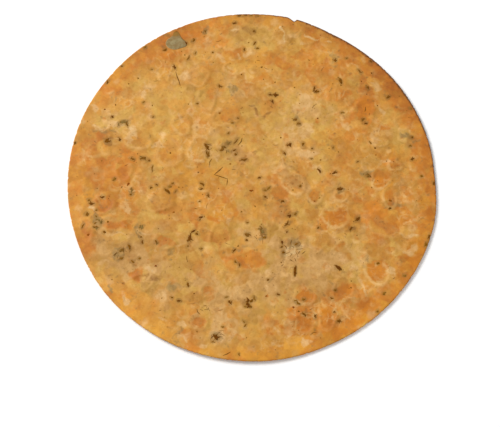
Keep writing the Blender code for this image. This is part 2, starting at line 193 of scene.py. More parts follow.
# Stretches of the rim: middle and half width in degrees, and how much lighter and more orange. The
# darker stretch round 40 degrees is partly painted shade.
RIM_STRETCHES = (
    (6, 16, 0.15, 0.9), (40, 24, -0.8, 1.4), (85, 14, -0.2, 0.2), (120, 13, -0.7, 0.6),
    (140, 10, 0.1, 0.8), (163, 14, 0.1, 0.3), (182, 12, -0.1, 0.6), (200, 10, -0.1, 0.4),
    (228, 22, 0.5, 0.1), (262, 22, 0.5, 0.2), (282, 10, 0.3, 0.5), (300, 19, 0.8, 1.4),
    (338, 22, 0.1, 1.0),
)
RIM_DULL = -0.5
RIM_FULL_TO = 2.0 * MM
RIM_NONE_FROM = 11.0 * MM

# Patches on the top, in mm: place, half length, half width, turn in degrees, and strength. A patch
# of strength 1 is full in the middle, and a stronger one is full over more of its width.
TOASTED_PATCHES = (
    (-74, 23, 3.5, 2.5, 30, 0.7), (-62.5, 15.5, 3.2, 3, 0, 0.6), (-31, 78, 6, 3, 10, 0.8),
    (-46, 74, 4, 3, 40, 0.8), (-40, 66.5, 7, 2.5, 10, 0.6), (55, 39, 4.6, 5.5, 0, 0.9),
    (55, 32, 3.5, 3, 0, 0.6), (62, 60, 8, 3.5, -45, 0.7), (69, 51, 4, 6, 20, 0.9),
    (73, 38, 4, 4, 0, 0.7), (65, 27, 4, 2.5, 30, 0.6), (60, 3, 4, 3, 0, 0.6),
    (32, 31, 1.6, 2.6, 0, 0.6), (84, 16, 3, 7, 15, 0.6), (-65, -23.5, 9, 2.4, 3, 0.75),
    (-79, -27, 3.6, 4, -30, 0.7), (-54, -48, 2.8, 4.4, -35, 0.8), (-44, -17, 4.5, 1.6, 5, 0.6),
    (-19, -21, 2.6, 1.5, 0, 0.8), (-8, -17, 2.6, 2.6, 0, 0.6), (-33, -76, 2, 1.2, 0, 0.6),
    (-62, -1, 3, 3, 0, 0.7), (-13, -75, 2, 1.6, 0, 0.6), (57, -16, 6, 4, -20, 0.6),
    (72, -22, 3.4, 2.4, 20, 0.8), (66, -9, 1.6, 3, 0, 0.9), (60.5, -1, 3, 4, 0, 0.7),
    (76, -41, 3, 6, -40, 0.8), (81, -35, 2, 6, -30, 0.6), (53.5, -62.5, 4.4, 3.2, 10, 1),
    (49, -72, 4, 2.4, 30, 0.7), (40, -77, 4, 2.4, 20, 1), (31, -26, 2, 2.4, 0, 0.6),
    (19, -64.5, 1.2, 1, 0, 0.8), (14, -73.5, 1.8, 1.5, 0, 0.9), (6, -59, 1.3, 1.1, 0, 0.9),
    (3, -42, 4, 4, 0, 0.7), (85, -18, 2.4, 6, 0, 0.7), (36, -17, 2.5, 2.5, 0, 0.8),
    (43, -17.5, 3, 3, 0, 0.8), (-5, -40.5, 5, 2, 15, 0.7), (24, -69, 4, 3, 0, 0.8),
)
PALE_PATCHES = (
    (-60.5, 20.5, 2, 4.5, 40, 0.9), (-59.5, 25, 2.8, 2.6, 0, 1.2), (-76, 27.2, 4, 2, 0, 0.8),
    (-68, 28.5, 5, 2.2, 0, 0.9), (-9.5, 80.3, 1.6, 1.3, 0, 1.3), (-34.5, 55, 2.4, 3, 0, 1),
    (-53.5, 46, 1.6, 6, 8, 0.8), (-44, 23, 2, 2.6, 0, 0.7), (-46.5, 18, 3, 2, 0, 0.7),
    (-30, 36, 1.4, 6, 12, 0.7), (-27.5, 29, 2.6, 5, 0, 0.6), (-36, 32, 1.2, 5, 10, 0.6),
    (-30.5, 12, 1.2, 6, 0, 0.9), (-26, 9.5, 3, 1.2, 0, 1), (-78, 38, 2.4, 3.6, 20, 0.7),
    (-11, 59.5, 2.4, 2.2, 0, 0.6), (-6.5, 64.5, 1.2, 1.6, 0, 1), (-2.5, 67, 2, 1.6, 0, 0.7),
    (-16.5, 65, 2.4, 3, 0, 0.6), (-18, 11.5, 0.9, 3, 0, 0.9), (25, 40, 7, 4, 45, 0.8),
    (25, 26, 5, 5, 0, 0.7), (18, 27, 3, 3, 0, 0.6), (27, 13, 5, 3.6, 10, 0.8), (31, 6, 3, 2.6, 0, 0.8),
    (16, 75, 6, 2.4, 25, 0.7), (14.8, 80.4, 0.9, 3, 28, 2.2), (16.3, 75.6, 0.9, 3.2, 5, 1.4),
    (29.6, 76.3, 3.6, 0.8, -27, 1.3), (25, 73, 2.4, 0.8, 15, 1.1), (37.8, 74.5, 2.6, 0.8, 5, 0.9),
    (50, 61, 3, 1.6, -30, 0.6), (61, 50, 2, 2.4, 0, 0.9), (46, 28, 2.4, 3, 0, 0.7),
    (64, 35, 1.4, 2, 0, 1), (60, 22, 3.6, 0.9, -15, 0.7), (18, 53, 2.4, 2, 0, 0.6),
    (65, 9, 4, 1.6, 30, 0.6), (-77, -16, 1, 2.2, 30, 1.2), (-60.5, -15, 2, 3.4, 20, 0.9),
    (-63, -14, 3, 2, 0, 0.6), (-55, -7, 3.4, 0.9, -40, 0.7), (-51.5, -27, 2, 1.4, 0, 0.8),
    (-48, -46, 2.6, 2, 0, 1), (-71, -43.5, 3, 1.6, 0, 0.9), (-64, -28, 5, 0.8, 0, 0.6),
    (-36.5, -33, 3, 2, 0, 0.6), (-11.5, -22.5, 1.4, 2, 0, 0.7), (-60, -60, 1.8, 2.4, 0, 0.7),
    (-42, -59, 1.4, 2.4, 0, 0.7), (-42, -70, 2.4, 1.4, 0, 0.7), (-33, -72.5, 2, 1.6, 0, 0.8),
    (-14, -67, 1.6, 3, 0, 0.6), (-16, -79, 4.4, 3.4, 0, 0.8), (-10, -79, 2, 4, -15, 0.6),
    (-31, -78.5, 2.4, 1.2, -40, 0.8), (-22, -83.5, 3, 1.6, -20, 0.7), (-45, -36, 1.4, 1, 0, 1),
    (18.2, -37.2, 3.4, 2.8, 0, 2.3), (19, -38, 4.4, 5, 0, 0.6), (21.5, -34, 2, 1.2, 30, 1.2),
    (7, -47.5, 3, 1.4, 30, 0.9), (8, -54, 2, 1.6, 0, 0.8), (43, -38, 3, 1.4, 0, 0.6),
    (47, -44, 2.4, 3, 0, 0.6), (52, -43, 2, 3, 0, 0.6), (66, -46, 2.6, 3, 0, 0.9),
    (75, -36, 3.4, 2, 20, 1), (76, -29, 3, 2, 0, 0.7), (53, -25, 2.4, 2, 0, 0.6),
    (36, -45, 4, 1, 40, 0.7), (24, -63.5, 6, 1, 0, 0.7), (51, -55, 1, 5, 10, 0.7),
    (20, -78, 6, 0.9, 0, 0.6), (25, -81, 3, 1.2, -30, 0.7), (10, -82, 3, 2, 0, 0.6),
    (11, -76, 1.2, 3, 20, 0.6),
)
# Leaf that lies under the skin and only stains it, in the same form: grey and brown.
GREY_STAINS = (
    (55.4, -39.8, 1.1, 1.8, 0, 1), (-63.5, 29.5, 4, 2, 0, 0.7), (-79, 25, 3, 1.2, -20, 0.6),
    (-71.5, 25, 6, 1.1, -8, 0.6), (-9.8, 48, 1.8, 3.8, 0, 0.8), (-12, 17, 3.4, 3, 40, 0.6),
    (-24, 80, 2, 2.4, 0, 0.6), (-18, 72, 1.4, 1.6, 0, 0.6), (1, 73, 2, 1.4, 0, 0.6),
    (2.5, 70.5, 1.6, 1.6, 0, 0.7), (22.5, 31, 2.6, 3, 0, 0.6), (40.5, 64.5, 2.4, 4, 10, 0.6),
    (41.3, 30, 0.8, 1.6, 0, 0.6), (76, 22, 5.4, 1.8, -15, 0.7), (55, 3, 2.6, 2.4, 0, 0.8),
    (-74.5, -22, 3, 4, -20, 0.8), (-54, -27, 2, 4, 10, 0.8), (-64, -38, 3.4, 2.6, 0, 0.7),
    (-59, -35, 1.4, 2, 0, 0.7), (-58.5, -7, 1.6, 2.6, 0, 0.6), (-39, -37, 1.4, 2.4, 0, 0.6),
    (-39, -42, 1.8, 1.4, 0, 0.6), (-38, -55, 2.6, 2, 0, 0.7), (-6, -34.5, 2.4, 2, 0, 0.7),
    (-3, -29, 2, 2, 0, 0.6), (-67.5, -56, 1.4, 2.4, 0, 0.7), (-17, -78.5, 3, 2.4, 0, 0.7),
    (4.5, -27, 2, 3.6, 10, 0.8), (19, -33, 4, 3, 40, 0.7), (15, -37, 2, 3, 0, 0.6),
    (55.3, -40, 1, 2.4, 0, 1), (51.5, -45, 1.6, 1, 0, 0.7), (36.5, -52, 1.4, 1, 0, 0.7),
    (43, -5.5, 2.6, 2, 0, 0.6), (70, -12.5, 4, 1.6, 0, 0.6), (66, -15, 1.6, 0.9, 0, 0.7),
    (29.5, -69, 1.6, 1.4, 0, 0.6), (20, -62, 1.4, 1.4, 0, 0.6), (8, -51, 1, 1, 0, 0.7),
)
BROWN_STAINS = (
    (-41.6, 77.2, 2.6, 2.2, 0, 0.9), (-2.5, 80, 5, 3, 0, 0.6), (-5, 10, 4, 1.6, 0, 0.6),
    (-21.8, 15.5, 2, 5, 0, 0.6), (-71.5, 20, 3, 2, 0, 0.7), (-26.5, 39.5, 1.6, 1, 0, 0.6),
    (-16.5, 49.5, 1.8, 1, 0, 0.6), (6.5, 34.3, 4, 1.2, 0, 0.8), (2, 35, 1.4, 1, 0, 0.9),
    (23.5, 17, 2.4, 2.4, 45, 0.7), (20, 6, 1.8, 1.8, 0, 0.7), (44, 33.5, 0.9, 2, 20, 0.6),
    (1, 14, 1.6, 2, 0, 0.6), (58, 18.5, 3.6, 0.9, -50, 0.7), (72.5, 37.5, 1.8, 1.4, 0, 0.6),
    (-47, -50, 3, 1.2, -10, 0.6), (-22.5, -64.5, 3.4, 1, 0, 0.6), (-4, -62, 3, 4, 0, 0.6),
    (50.5, -20.5, 2.4, 1.6, 50, 0.7), (47, -25, 2.4, 1.6, 50, 0.7), (17, -22, 1, 4, -35, 0.6),
    (31, -25, 1.2, 0.9, 0, 0.7), (73, -48, 1.6, 0.9, 0, 0.6), (62, -20, 1.4, 1, 0, 0.7),
    (24.5, -67.5, 2, 1, -30, 0.6),
)
# Where the skin has cracked into a fine net, in the same form.
CRACKED_PATCHES = (
    (18.5, -36, 6, 6, 0, 1), (-16.5, -79, 5, 4, 0, 0.7), (16, -44, 4, 3, 0, 0.5),
    (9, -50, 3, 4, 0, 0.5), (38, -26, 3, 6, -60, 0.4), (-74, -21, 3, 4, 0, 0.4),
)
# The patches' outlines wander: the noise that moves them along x and along y, and how far.
PATCH_WANDER = (
    ((9 * MM, 18, 61), (9 * MM, 18, 71), 0.8 * MM),
    ((4 * MM, 18, 62), (4 * MM, 18, 72), 0.35 * MM),
)

# Leaf flecks in mm: place, length, width, turn in degrees. The large ones are packed as well, and
# end with their look: 0 for dark olive brown, 0.5 for brown and 1 for grey green.
LARGE_FLECKS = (
    (-33.4, 73.2, 2.6, 1.3, -60, 0.1), (-29.6, 74.6, 3, 1.2, 62, 0.4),
    (-9, 84.5, 2.8, 1.3, 14, 0.1), (-24, 79.5, 2.6, 1.2, 80, 0.7),
    (-44, 69.4, 2.2, 1.2, 20, 0.2), (-39, 60, 3, 1.5, -66, 0.1), (-72.3, 51.7, 2.4, 1, 60, 0.2),
    (-16.5, 49.4, 2.4, 1.2, -35, 0.4), (0.6, 80, 1.8, 1.3, 10, 0.4), (41.1, 63.4, 2.2, 1.4, -60, 0.3),
    (53.3, 57.5, 2.8, 1, -45, 0.3), (43.6, 52.2, 4, 1.1, -68, 0.4),
    (57, 48.5, 2.6, 1, -72, 0.3), (30.6, 48, 2.6, 1.3, 80, 0.3), (31.8, 46.4, 3, 1.4, 10, 0.3),
    (67, 43.2, 2.6, 1.4, 50, 0.4), (11.4, 44.6, 2.8, 2, 30, 0.1), (8.8, 44.8, 2.2, 1.3, -20, 0.2),
    (9.8, 41.2, 2.4, 0.9, -80, 0.1), (-63.7, 30.2, 4.4, 1.2, 4, 0.8), (-61.8, 28.8, 2.8, 1.3, -64, 0.6),
    (-65.8, 28.8, 2.6, 1, 86, 0.9), (-69.2, 33, 1.7, 1.4, 0, 0.2), (20.8, 31.4, 2, 1.2, 10, 0.4),
    (22.8, 29.2, 2.2, 1.4, 0, 0.5), (54.3, 31.3, 2.2, 1.6, 30, 0.4), (55.4, 29.4, 2.2, 1.3, 5, 0.2),
    (-71.3, 20, 2.8, 2.2, 30, 0.3), (-65.2, 21, 2.2, 1.1, -50, 0.3),
    (-22.2, 17.2, 4.2, 2.4, -80, 0.4), (-21.8, 12.8, 3.4, 1.8, -72, 0.5),
    (-15, 16.2, 3.6, 2.6, 60, 0.6), (-12.2, 18.6, 3.4, 1.6, 28, 0.8), (17.9, 17.9, 3, 2.6, 40, 0.2),
    (15.5, 13.5, 2.4, 1, -52, 0.3), (-8.3, 13.1, 1.7, 1.4, 0, 0.4), (-53, 10.9, 4, 1.8, -4, 0.6),
    (-58.6, 10.6, 2.8, 1.3, -28, 0.6), (-4.4, 10.2, 4.2, 1.2, 2, 0.5), (77.8, 10.5, 2.2, 1.4, 35, 0.3),
    (55.6, 2, 3.2, 2.6, 20, 0.6), (32.4, 4.4, 3.6, 1.4, -60, 0.2), (39.6, 3.2, 2.6, 1.6, 38, 0.2),
    (3.4, 0.7, 1.9, 1.2, 10, 0.3), (42.2, -5.2, 2.9, 1.9, 10, 0.2), (-24.6, -2.4, 3.2, 1.4, -42, 0.5),
    (-24.9, -5, 2.2, 1.1, 30, 0.5), (-41.3, -6.2, 4, 0.9, -46, 0.3),
    (-21.6, -8.6, 2.8, 1, -72, 0.4), (-72.3, -9.2, 2.2, 1.3, 12, 0.1),
    (-77.6, -12.6, 3.2, 1.5, -22, 0.3), (-58.4, -6.2, 3.6, 1.5, -60, 0.7),
    (14.3, -11.3, 2.2, 1.1, 0, 0.4), (6, -9.1, 1.7, 1.3, 0, 0.3), (-79.8, -17.9, 2.2, 1.9, 60, 0.5),
    (-24.8, -19.6, 2.9, 1.3, 25, 0.1), (-73.4, -21.3, 3.4, 2, -48, 0.8),
    (-74.4, -24.7, 2.6, 1.6, 30, 0.7), (17.4, -18.9, 2.4, 1.7, 30, 0.1),
    (50.3, -20.6, 3.8, 1.5, 50, 0.2), (46.8, -25.4, 3, 1.5, 52, 0.3),
    (16.4, -23.2, 4.2, 1.2, 50, 0.2), (4.6, -26, 5, 2.2, -80, 0.8),
    (-53.2, -24.4, 3, 1.8, 44, 0.9), (-28.7, -26.9, 3, 1.1, 34, 0.1),
    (-30.1, -30.6, 4.6, 2, 82, 0.1), (-26.6, -28, 2, 1.3, -50, 0.4),
    (-2.8, -28.4, 3.4, 1.8, -30, 0.6), (14, -32.3, 2.1, 1.2, -62, 0.1),
    (-62.4, -36.2, 3, 2, 20, 0.6), (-46.1, -32.2, 2.4, 1.3, -64, 0.5),
    (-8.9, -36.3, 2.5, 1, 54, 0.3), (20, -46.6, 5.6, 1.1, 84, 0.1),
    (40.4, -44.8, 4.6, 1.3, -42, 0.2), (-30.5, -53.4, 2.6, 1.7, 80, 0.5),
    (-34.7, -61.2, 2.4, 1.1, -10, 0.2), (-2.3, -62.2, 4.2, 3, 76, 0.2),
    (-10.8, -62, 2.8, 1.4, -60, 0.3), (29.1, -68.8, 2.2, 1.2, 76, 0.3),
    (24.1, -67.8, 2.8, 1.1, -36, 0.4), (40.3, -71, 2.5, 1.4, 25, 0.3),
    (-17.3, -79, 3.6, 2, -26, 0.1),
)
SMALL_FLECKS = (
    (-28.6, 67.5, 1.8, 0.9, 90), (-32, 65, 3.5, 0.5, 65), (-20, 68, 1.2, 1, 0),
    (-4.3, 69.5, 1.8, 0.9, 90), (-6.8, 88.6, 2.2, 0.9, 0), (-3.6, 88.8, 1.8, 0.7, 0),
    (-0.8, 88.8, 2, 0.7, 0), (2.2, 88.7, 1.8, 0.7, -4), (1, 73, 2.5, 0.8, 60), (2.5, 70.3, 1.6, 1.1, 0),
    (-27.3, 40, 1.6, 0.8, 20), (-8.3, 19.5, 3.5, 0.6, 50), (-12, 24, 1.3, 1, 40),
    (-10, 29.5, 1.5, 1, 0), (-7.4, 32, 1.2, 0.9, 0), (-9, 15, 2.2, 0.9, 35), (24.5, 18.3, 2, 1.1, 70),
    (29, 16, 1.3, 0.8, 30), (28.5, 10.6, 1.4, 0.9, 0), (44, 35, 1.8, 0.8, 20),
    (39.2, 16.5, 1.5, 0.8, 80), (-49, 32.7, 1.5, 0.9, 15), (-54, 40.6, 1.3, 1.1, 0),
    (-87, 19, 1.8, 1, 80), (-50.5, 9.8, 1.2, 0.9, 0), (-49, 5.5, 4, 0.8, 88),
    (-67.2, 0, 2.2, 1.5, 50), (77.8, 37.3, 1.5, 1, 0), (78.2, 22, 1.2, 1, 0), (77, 17.5, 1.2, 1, 0),
    (51, 9, 1.5, 0.5, 30), (57.5, 19, 2, 0.8, -55), (82, 1.5, 1.6, 1.1, 0), (-79, -10.7, 1.5, 1, 20),
    (-75.2, -16, 1.2, 0.9, 0), (-75.3, -19, 1.6, 0.8, -50), (-75.5, -22.5, 1.5, 0.8, 30),
    (-76, -24.7, 1.6, 0.9, 0), (-71, -27.2, 2, 1, -40), (-59, -8, 1.3, 1, 0), (-49.3, -4.3, 1.4, 1, 30),
    (-46.5, -3, 1.4, 0.9, 0), (-53.3, -29.5, 1.3, 1, 0), (-52.8, -32, 2.2, 0.8, 90),
    (-58.8, -34.5, 3.5, 1.2, -70), (-62.5, -40.3, 1.6, 1.1, 0), (-53.8, -40.3, 1.3, 0.9, 0),
    (-57, -42, 2, 1, -45), (-81.5, -24, 2.6, 0.8, 70), (-40.1, -3.8, 1.5, 1.1, 0),
    (-38.7, -2.3, 1.5, 0.6, 30), (-37.3, -6.5, 1.8, 0.7, 60), (-25.7, -11.5, 1.4, 0.8, 0),
    (-25.4, -20.7, 1.4, 0.7, 30), (-31, -34.3, 1.2, 1, 0), (-24.6, -35.4, 1.4, 0.9, 20),
    (-8.3, -42, 1.5, 0.9, -60), (-6.3, -43.6, 1.7, 0.7, 90), (-3, -31, 1.3, 1, 0),
    (-2.6, -22.3, 1.4, 0.8, 0), (5.8, -5.7, 1.6, 1.2, 0), (7.7, -4.7, 2.6, 1, 50),
    (23, -3.6, 1.5, 0.9, 60), (20.4, -17.9, 1.5, 1, 40), (16.2, -27, 1.3, 0.7, 60),
    (13.8, -34.4, 1.2, 0.9, 0), (14.5, -37.3, 1.5, 1, 0), (20.8, -33.1, 2, 0.8, 30),
    (5.6, -29.8, 1.8, 1.4, 0), (31.2, -25, 1.5, 0.8, 50), (66, -15.2, 1.5, 1.2, 0),
    (59.3, -42.8, 1.8, 1.1, 20), (84.2, -29.4, 2.2, 1, 68), (82.6, -33.4, 2.4, 1.2, 66),
    (87.6, -2, 2.4, 1, 85),
    (-38.1, -59.7, 1.3, 0.9, 0), (-12.3, -59.5, 2, 0.6, 15), (-3.5, -64, 1.4, 1, 0),
    (-1.2, -64, 1.5, 1.2, 0), (-0.6, -61.2, 2.2, 1.2, 40), (0.7, -60, 3, 0.9, -70),
    (-4.2, -71.5, 1.6, 0.8, -50), (-3.6, -73.3, 2, 0.7, 60), (-14.1, -74, 1.4, 1, 0),
    (-18.5, -81.2, 1.8, 0.8, 0),
    (-6.5, -87, 1.6, 0.7, 90), (7.2, -50.8, 1.3, 1.1, 0), (12, -58.2, 1.8, 0.9, -20),
    (20, -61.2, 1.6, 0.8, 0), (21, -62.2, 3, 1, -50), (23.8, -60.7, 1.8, 1.4, 0), (37, -60, 2, 1, -30),
    (38.7, -56, 1.6, 1.2, 0), (38.2, -66.5, 1.2, 1, 0), (-65.3, 60.5, 1.2, 0.8, 0),
    (-54, 71, 2, 1, 40), (-50.2, 58.5, 1.2, 0.9, 0), (59, 63, 1.6, 1, -40), (47, 64.6, 1.2, 0.9, 0),
    (61.7, -57.5, 1.9, 1.3, 60), (58.4, -66.4, 1.2, 1, 0), (71.8, -48.8, 1.5, 1, 0),
)
CHILLI_SPECKS = (
    (-11, 8, 1.1, 0.9, 0), (-16.3, 34.7, 1.3, 1, 0), (33, 10, 0.9, 0.7, 0), (32, 32, 1.1, 0.9, 0),
    (60, 12.5, 0.8, 0.7, 0), (-78.6, -28.5, 1.6, 1.3, 0), (-60.3, -2.5, 2.4, 0.9, 55),
    (-38.1, -17, 1.1, 0.9, 0), (19, -64.3, 1.4, 1.1, 0), (6.3, -58.8, 1, 0.8, 0),
    (66.2, -11, 1.6, 1.2, 0), (-0.8, -6, 2, 1.1, 0), (-73, 37, 0.9, 0.8, 0), (29.7, -11.5, 0.9, 0.7, 0),
    (-46, -44, 1.2, 0.9, 0),
)
# Stalks: the points that each runs through and its width, in mm. Then how many sides they have and
# steps between two points, and, as shares of their radius, how thin they end and how far their
# middle lies above the dough.
STALKS = (
    (((-38.4, 57.6), (-37.6, 54.6), (-36.6, 52), (-36, 49.6)), 0.34),
    (((-14.5, 6.5), (-16.5, 4.5), (-18.7, 2.4)), 0.42),
    (((-18.7, 2.4), (-15.4, 1.3), (-12.2, 0.2)), 0.42),
    (((-12.2, 0.2), (-12.4, -1.6), (-12.6, -3.2)), 0.30),
    (((18.6, -31), (18, -32.4), (18.2, -33.8)), 0.36),
    (((-19.9, 10.8), (-20.9, 9.2), (-21.2, 7.2)), 0.34),
    (((-10.4, -86), (-12, -86.9), (-14, -87.7)), 0.36),
    (((-26.2, -65.4), (-25.9, -66.8), (-24.6, -68)), 0.36),
    (((55.6, 38), (55.6, 36.6), (55.2, 35.4)), 0.34),
    (((-7.2, 17.6), (-5.6, 19.8), (-5.2, 21.6)), 0.34),
)
STALK_SIDES = 6
STALK_STEPS = 4
STALK_END_SHARE = 0.35
STALK_RISE = 0.25
# Where hairlines of stalk lie: middle and radius of the area in mm, and how many. Then their width
# and length in mm, and how far they bend, as a share of half their length.
HAIRLINE_AREAS = (
    (18.5, -35.5, 6, 14), (-16.5, -79, 5, 9), (-22, -66, 3, 5), (4, -30, 4, 5),
    (-62, -38, 4, 5), (-20, 15, 4, 3), (9, 42, 4, 4), (0, 0, 84, 34),
)
HAIRLINE_WIDTH = (0.15, 0.24)
HAIRLINE_LENGTH = (1.2, 3.4)
HAIRLINE_BEND = 0.35
# Scattered leaf, by rule: how many, from what length to what length, and how far out, in mm. The
# seed is that of all leaf.
CRUMBS = (64, 0.6, 1.1)
TINY_SPECKS = (170, 0.3, 0.6)
SCATTER_RADIUS = 87.0
LEAF_SEED = 17

# A scrap of leaf: how many corners it has, its rise above the dough and how deep its edge is sunk.
STRAND_FORM = (13, 0.12 * MM, 0.3 * MM)
CRUMB_FORM = (6, 0.08 * MM, 0.2 * MM)
FLECK_FORM = (9, 0.10 * MM, 0.25 * MM)
SCRAP_RAGGED = 0.32
# The parts of a large fleck, which are strands, a body or one slim strand: how far they spread,
# their shares of the fleck's length and of its width, at least and at most, and how far they bend.
STRAND = (1.0, (0.4, 0.8), (0.3, 0.5), 0.9)
BODY = (0.3, (0.7, 0.9), (0.6, 0.85), 0.3)
SLIM_STRAND = (0.0, (0.95,), (1.4,), 0.1)
# How far a strand that spreads fully lies along and across, as shares of the fleck's length and
# width, and how far it is turned, in degrees.
STRAND_SPREAD = (0.28, 0.36, 40.0)
# A fleck this many times as long as it is wide is slim. One below this look and width has a body.
SLIM_FROM = 3.5
BODY_BELOW_LOOK = 0.7
BODY_BELOW_WIDTH = 2.4
# From each of these widths on, a fleck has one part more. Then the least width of a part, and how
# many crumbs lie beside a fleck.
MORE_PARTS_FROM = (1.2, 1.8)
PART_MIN_WIDTH = 0.45
CRUMBS_BESIDE = 3
# Those crumbs: how far out as shares of the fleck's length and width, their length in mm, and their
# width as a share of it.
CRUMB_SPREAD = (0.6, 0.7)
CRUMB_LENGTH = (0.3, 0.65)
CRUMB_WIDTH = (0.45, 0.9)

# The broad leaf: its outline from the left, through the torn lower edge to the tip, and its middle,
# in mm. Then its mesh, its rise above the dough, how far its edge is sunk, the y in mm up to which
# it is grey, how wide its rim is as a share, and the direction in which the rim is darkest.
LEAF_OUTLINE = (
    (-43.7, 73), (-43, 71.1), (-41.2, 69.9), (-39, 69.5), (-37.2, 69.9), (-35.8, 70.4),
    (-33.8, 71.2), (-32.9, 72.4), (-33.8, 74.1), (-34.9, 75.2), (-36, 76.6), (-36.8, 78.3),
    (-38, 79.7), (-39.6, 79.3), (-40.3, 77.6), (-41.5, 76.2), (-43, 75),
)
LEAF_MIDDLE = (-38.6, 73.8)
LEAF_CORNERS = 72
LEAF_RINGS = 12
LEAF_RISE = 0.14 * MM
LEAF_SUNK = 0.3 * MM
LEAF_GREY_UP_TO = 76.6
LEAF_RIM_SHARE = 0.16
LEAF_DARK_SIDE = 40.0

# The grid of the dough's top, and how many steps its rounded edge has.
TOP_CELLS = 268
EDGE_STEPS = 3
# How uneven a blister's outline is, in waves of a half and of a third of a turn.
BLISTER_UNEVEN = (0.09, 0.07)
# How much of the fine relief is left at the edge.
FINE_RELIEF_AT_EDGE = 0.25
# A patch is full up to the first of these shares of its half widths, and gone from the second. Then
# the same for the toasted skin inside a blister.
PATCH_SOFTNESS = (0.45, 1.35)
SKIN_SOFTNESS = (0.66, 1.05)
# How far the colour of a fleck reaches past it, in mm.
HALO_REACH = 0.8
# The direction in which a ridge is palest, where a highlight is painted on it, in degrees, and how much
# paler it is there.
RIDGE_HIGHLIGHT_SIDE = 250.0
RIDGE_HIGHLIGHT_SWING = 0.6
# The scorched edge, partly painted shade along the edge: the direction in which it is darkest, in
# degrees, the width of its line, at least and there, the width and strength of a softer band, and the
# least share all round.
SCORCH_AND_SHADE_SIDE = 50.0
SCORCH_LINE = (1.0 * MM, 2.7 * MM)
SCORCH_BAND = 4.0 * MM
SCORCH_BAND_SHARE = 0.4
SCORCH_LEAST = 0.12
# The distance from a ridge, in mm, or the value of the creases' noise, where nothing of them shows.
NO_RIDGE = 3.0

# The camera: its height angle, its distance and the point that it looks at, on the floor.
CAMERA_ELEVATION = 70.5
CAMERA_DISTANCE = 669.0 * MM
CAMERA_TARGET = (-1.33 * MM, -17.09 * MM)
LENS = 100.0
SENSOR_WIDTH = 36.0

# The studio: the floor's half width and colour, the even light, and the lamp's place, size, power
# and colour.
FLOOR_HALF = 3.0
FLOOR_COLOUR = (0.94, 0.94, 0.945, 1.0)
EVEN_LIGHT = 0.62
LAMP_PLACE = (-1.24, 0.84, 1.24)
LAMP_SIZE = 0.9
LAMP_POWER = 36.0
LAMP_COLOUR = (1.0, 0.985, 0.96)


def smoothstep(low, high, value):
    share = np.clip((value - low) / (high - low), 0.0, 1.0)
    return share * share * (3.0 - 2.0 * share)


def turned(x, y, degrees):
    """The point x, y turned round the origin."""
    turn = math.radians(degrees)
    return x * math.cos(turn) - y * math.sin(turn), x * math.sin(turn) + y * math.cos(turn)


def past(angle, middle):
    """How many degrees an angle lies past a middle, from -180 to 180."""
    return (np.degrees(angle) - middle + 180.0) % 360.0 - 180.0


def facing(x, y, degrees):
    """How far the point x, y lies towards a direction, from -1 to 1."""
    return np.cos(np.arctan2(y, x) - math.radians(degrees))


def edge_radius(angle):
    """How far the edge lies from the middle, in the direction of angle."""
    radius = np.full(np.shape(angle), MEAN_RADIUS)
    for waves, height, crest in EDGE_WAVES:
        radius = radius + height * np.cos(waves * (angle - math.radians(crest)))
    past_short = np.abs(past(angle, SHORT_SIDE_ANGLE)) - SHORT_SIDE_HALF_WIDTH
    lead = smoothstep(0.0, SHORT_SIDE_LEAD, past_short)
    radius = radius - SHORT_SIDE_DEPTH * (1.0 - lead)
    past_chip = past(angle, CHIP_ANGLE)
    reach = np.where(past_chip < 0.0, CHIP_STEEP_SIDE, CHIP_GENTLE_SIDE)
    return radius - CHIP_DEPTH * np.clip(1.0 - np.abs(past_chip) / reach, 0.0, 1.0)


def to_edge(x, y):
    return edge_radius(np.arctan2(y, x)) - np.hypot(x, y)


def lift(x, y):
    """Height of the underside above what the bread lies on."""
    radius = np.hypot(x, y)
    angle = np.arctan2(y, x)
    curl = np.zeros(np.shape(x))
    for waves, height, crest in CURL_WAVES:
        share = (radius / MEAN_RADIUS) ** waves
        curl = curl + height * share * np.cos(waves * (angle - math.radians(crest)))
    return np.maximum(curl, 0.0) * smoothstep(FLAT_MIDDLE, CURL_FROM, radius)


def swell(x, y):
    height = np.zeros(np.shape(x))
    for wavelength, depth, direction, phase in SWELLS:
        along, _ = turned(x, y, -direction)
        height = height + depth * np.sin(2.0 * math.pi * along / wavelength + math.radians(phase))
    return height


def blister_outline(blister, angle):
    """Half width of a blister in the direction of angle: an uneven oval."""
    x, y, half_x, half_y = blister[:4]
    half, third = BLISTER_UNEVEN
    uneven = 1.0 + half * np.cos(2.0 * angle + x) + third * np.cos(3.0 * angle + y)
    oval = 1.0 / np.hypot(np.cos(angle) / half_x, np.sin(angle) / half_y)
    return oval * uneven * MM


def blister_reach(blister, x, y):
    """Distance from a blister's middle as a share of its half width, and that half width."""
    dx = x - blister[0] * MM
    dy = y - blister[1] * MM
    outline = blister_outline(blister, np.arctan2(dy, dx))
    return np.hypot(dx, dy) / outline, outline


def near_blisters(blisters, x, y):
    """Each blister, which points lie within about twice its half width, and their reach."""
    for blister in blisters:
        distance = np.hypot(x - blister[0] * MM, y - blister[1] * MM)
        near = distance < 2.2 * max(blister[2:4]) * MM
        yield blister, near, *blister_reach(blister, x[near], y[near])


def raised(x, y, blisters, form):
    """Height that blisters or bubbles add: the highest one counts where two meet."""
    height, ridge_width, plateau_share, plateau_to = form
    relief = np.zeros(np.shape(x))
    for _, near, reach, _ in near_blisters(blisters, x, y):
        ridge = np.exp(-(((reach - 1.0) / ridge_width) ** 2))
        plateau = plateau_share * (1.0 - smoothstep(plateau_to, 1.1, reach))
        relief[near] = np.maximum(relief[near], height * np.maximum(ridge, plateau))
    return relief


def is_clear(x, y, radius, bubbles):
    """Whether a bubble there keeps clear of the blisters and of the other bubbles."""
    for other in bubbles:
        room = radius + max(other[2:4]) * MM + BUBBLE_GAP
        if math.hypot(x - other[0] * MM, y - other[1] * MM) < room:
            return False
    return all(blister_reach(blister, x, y)[0] >= BUBBLE_CLEARANCE for blister in BLISTERS)


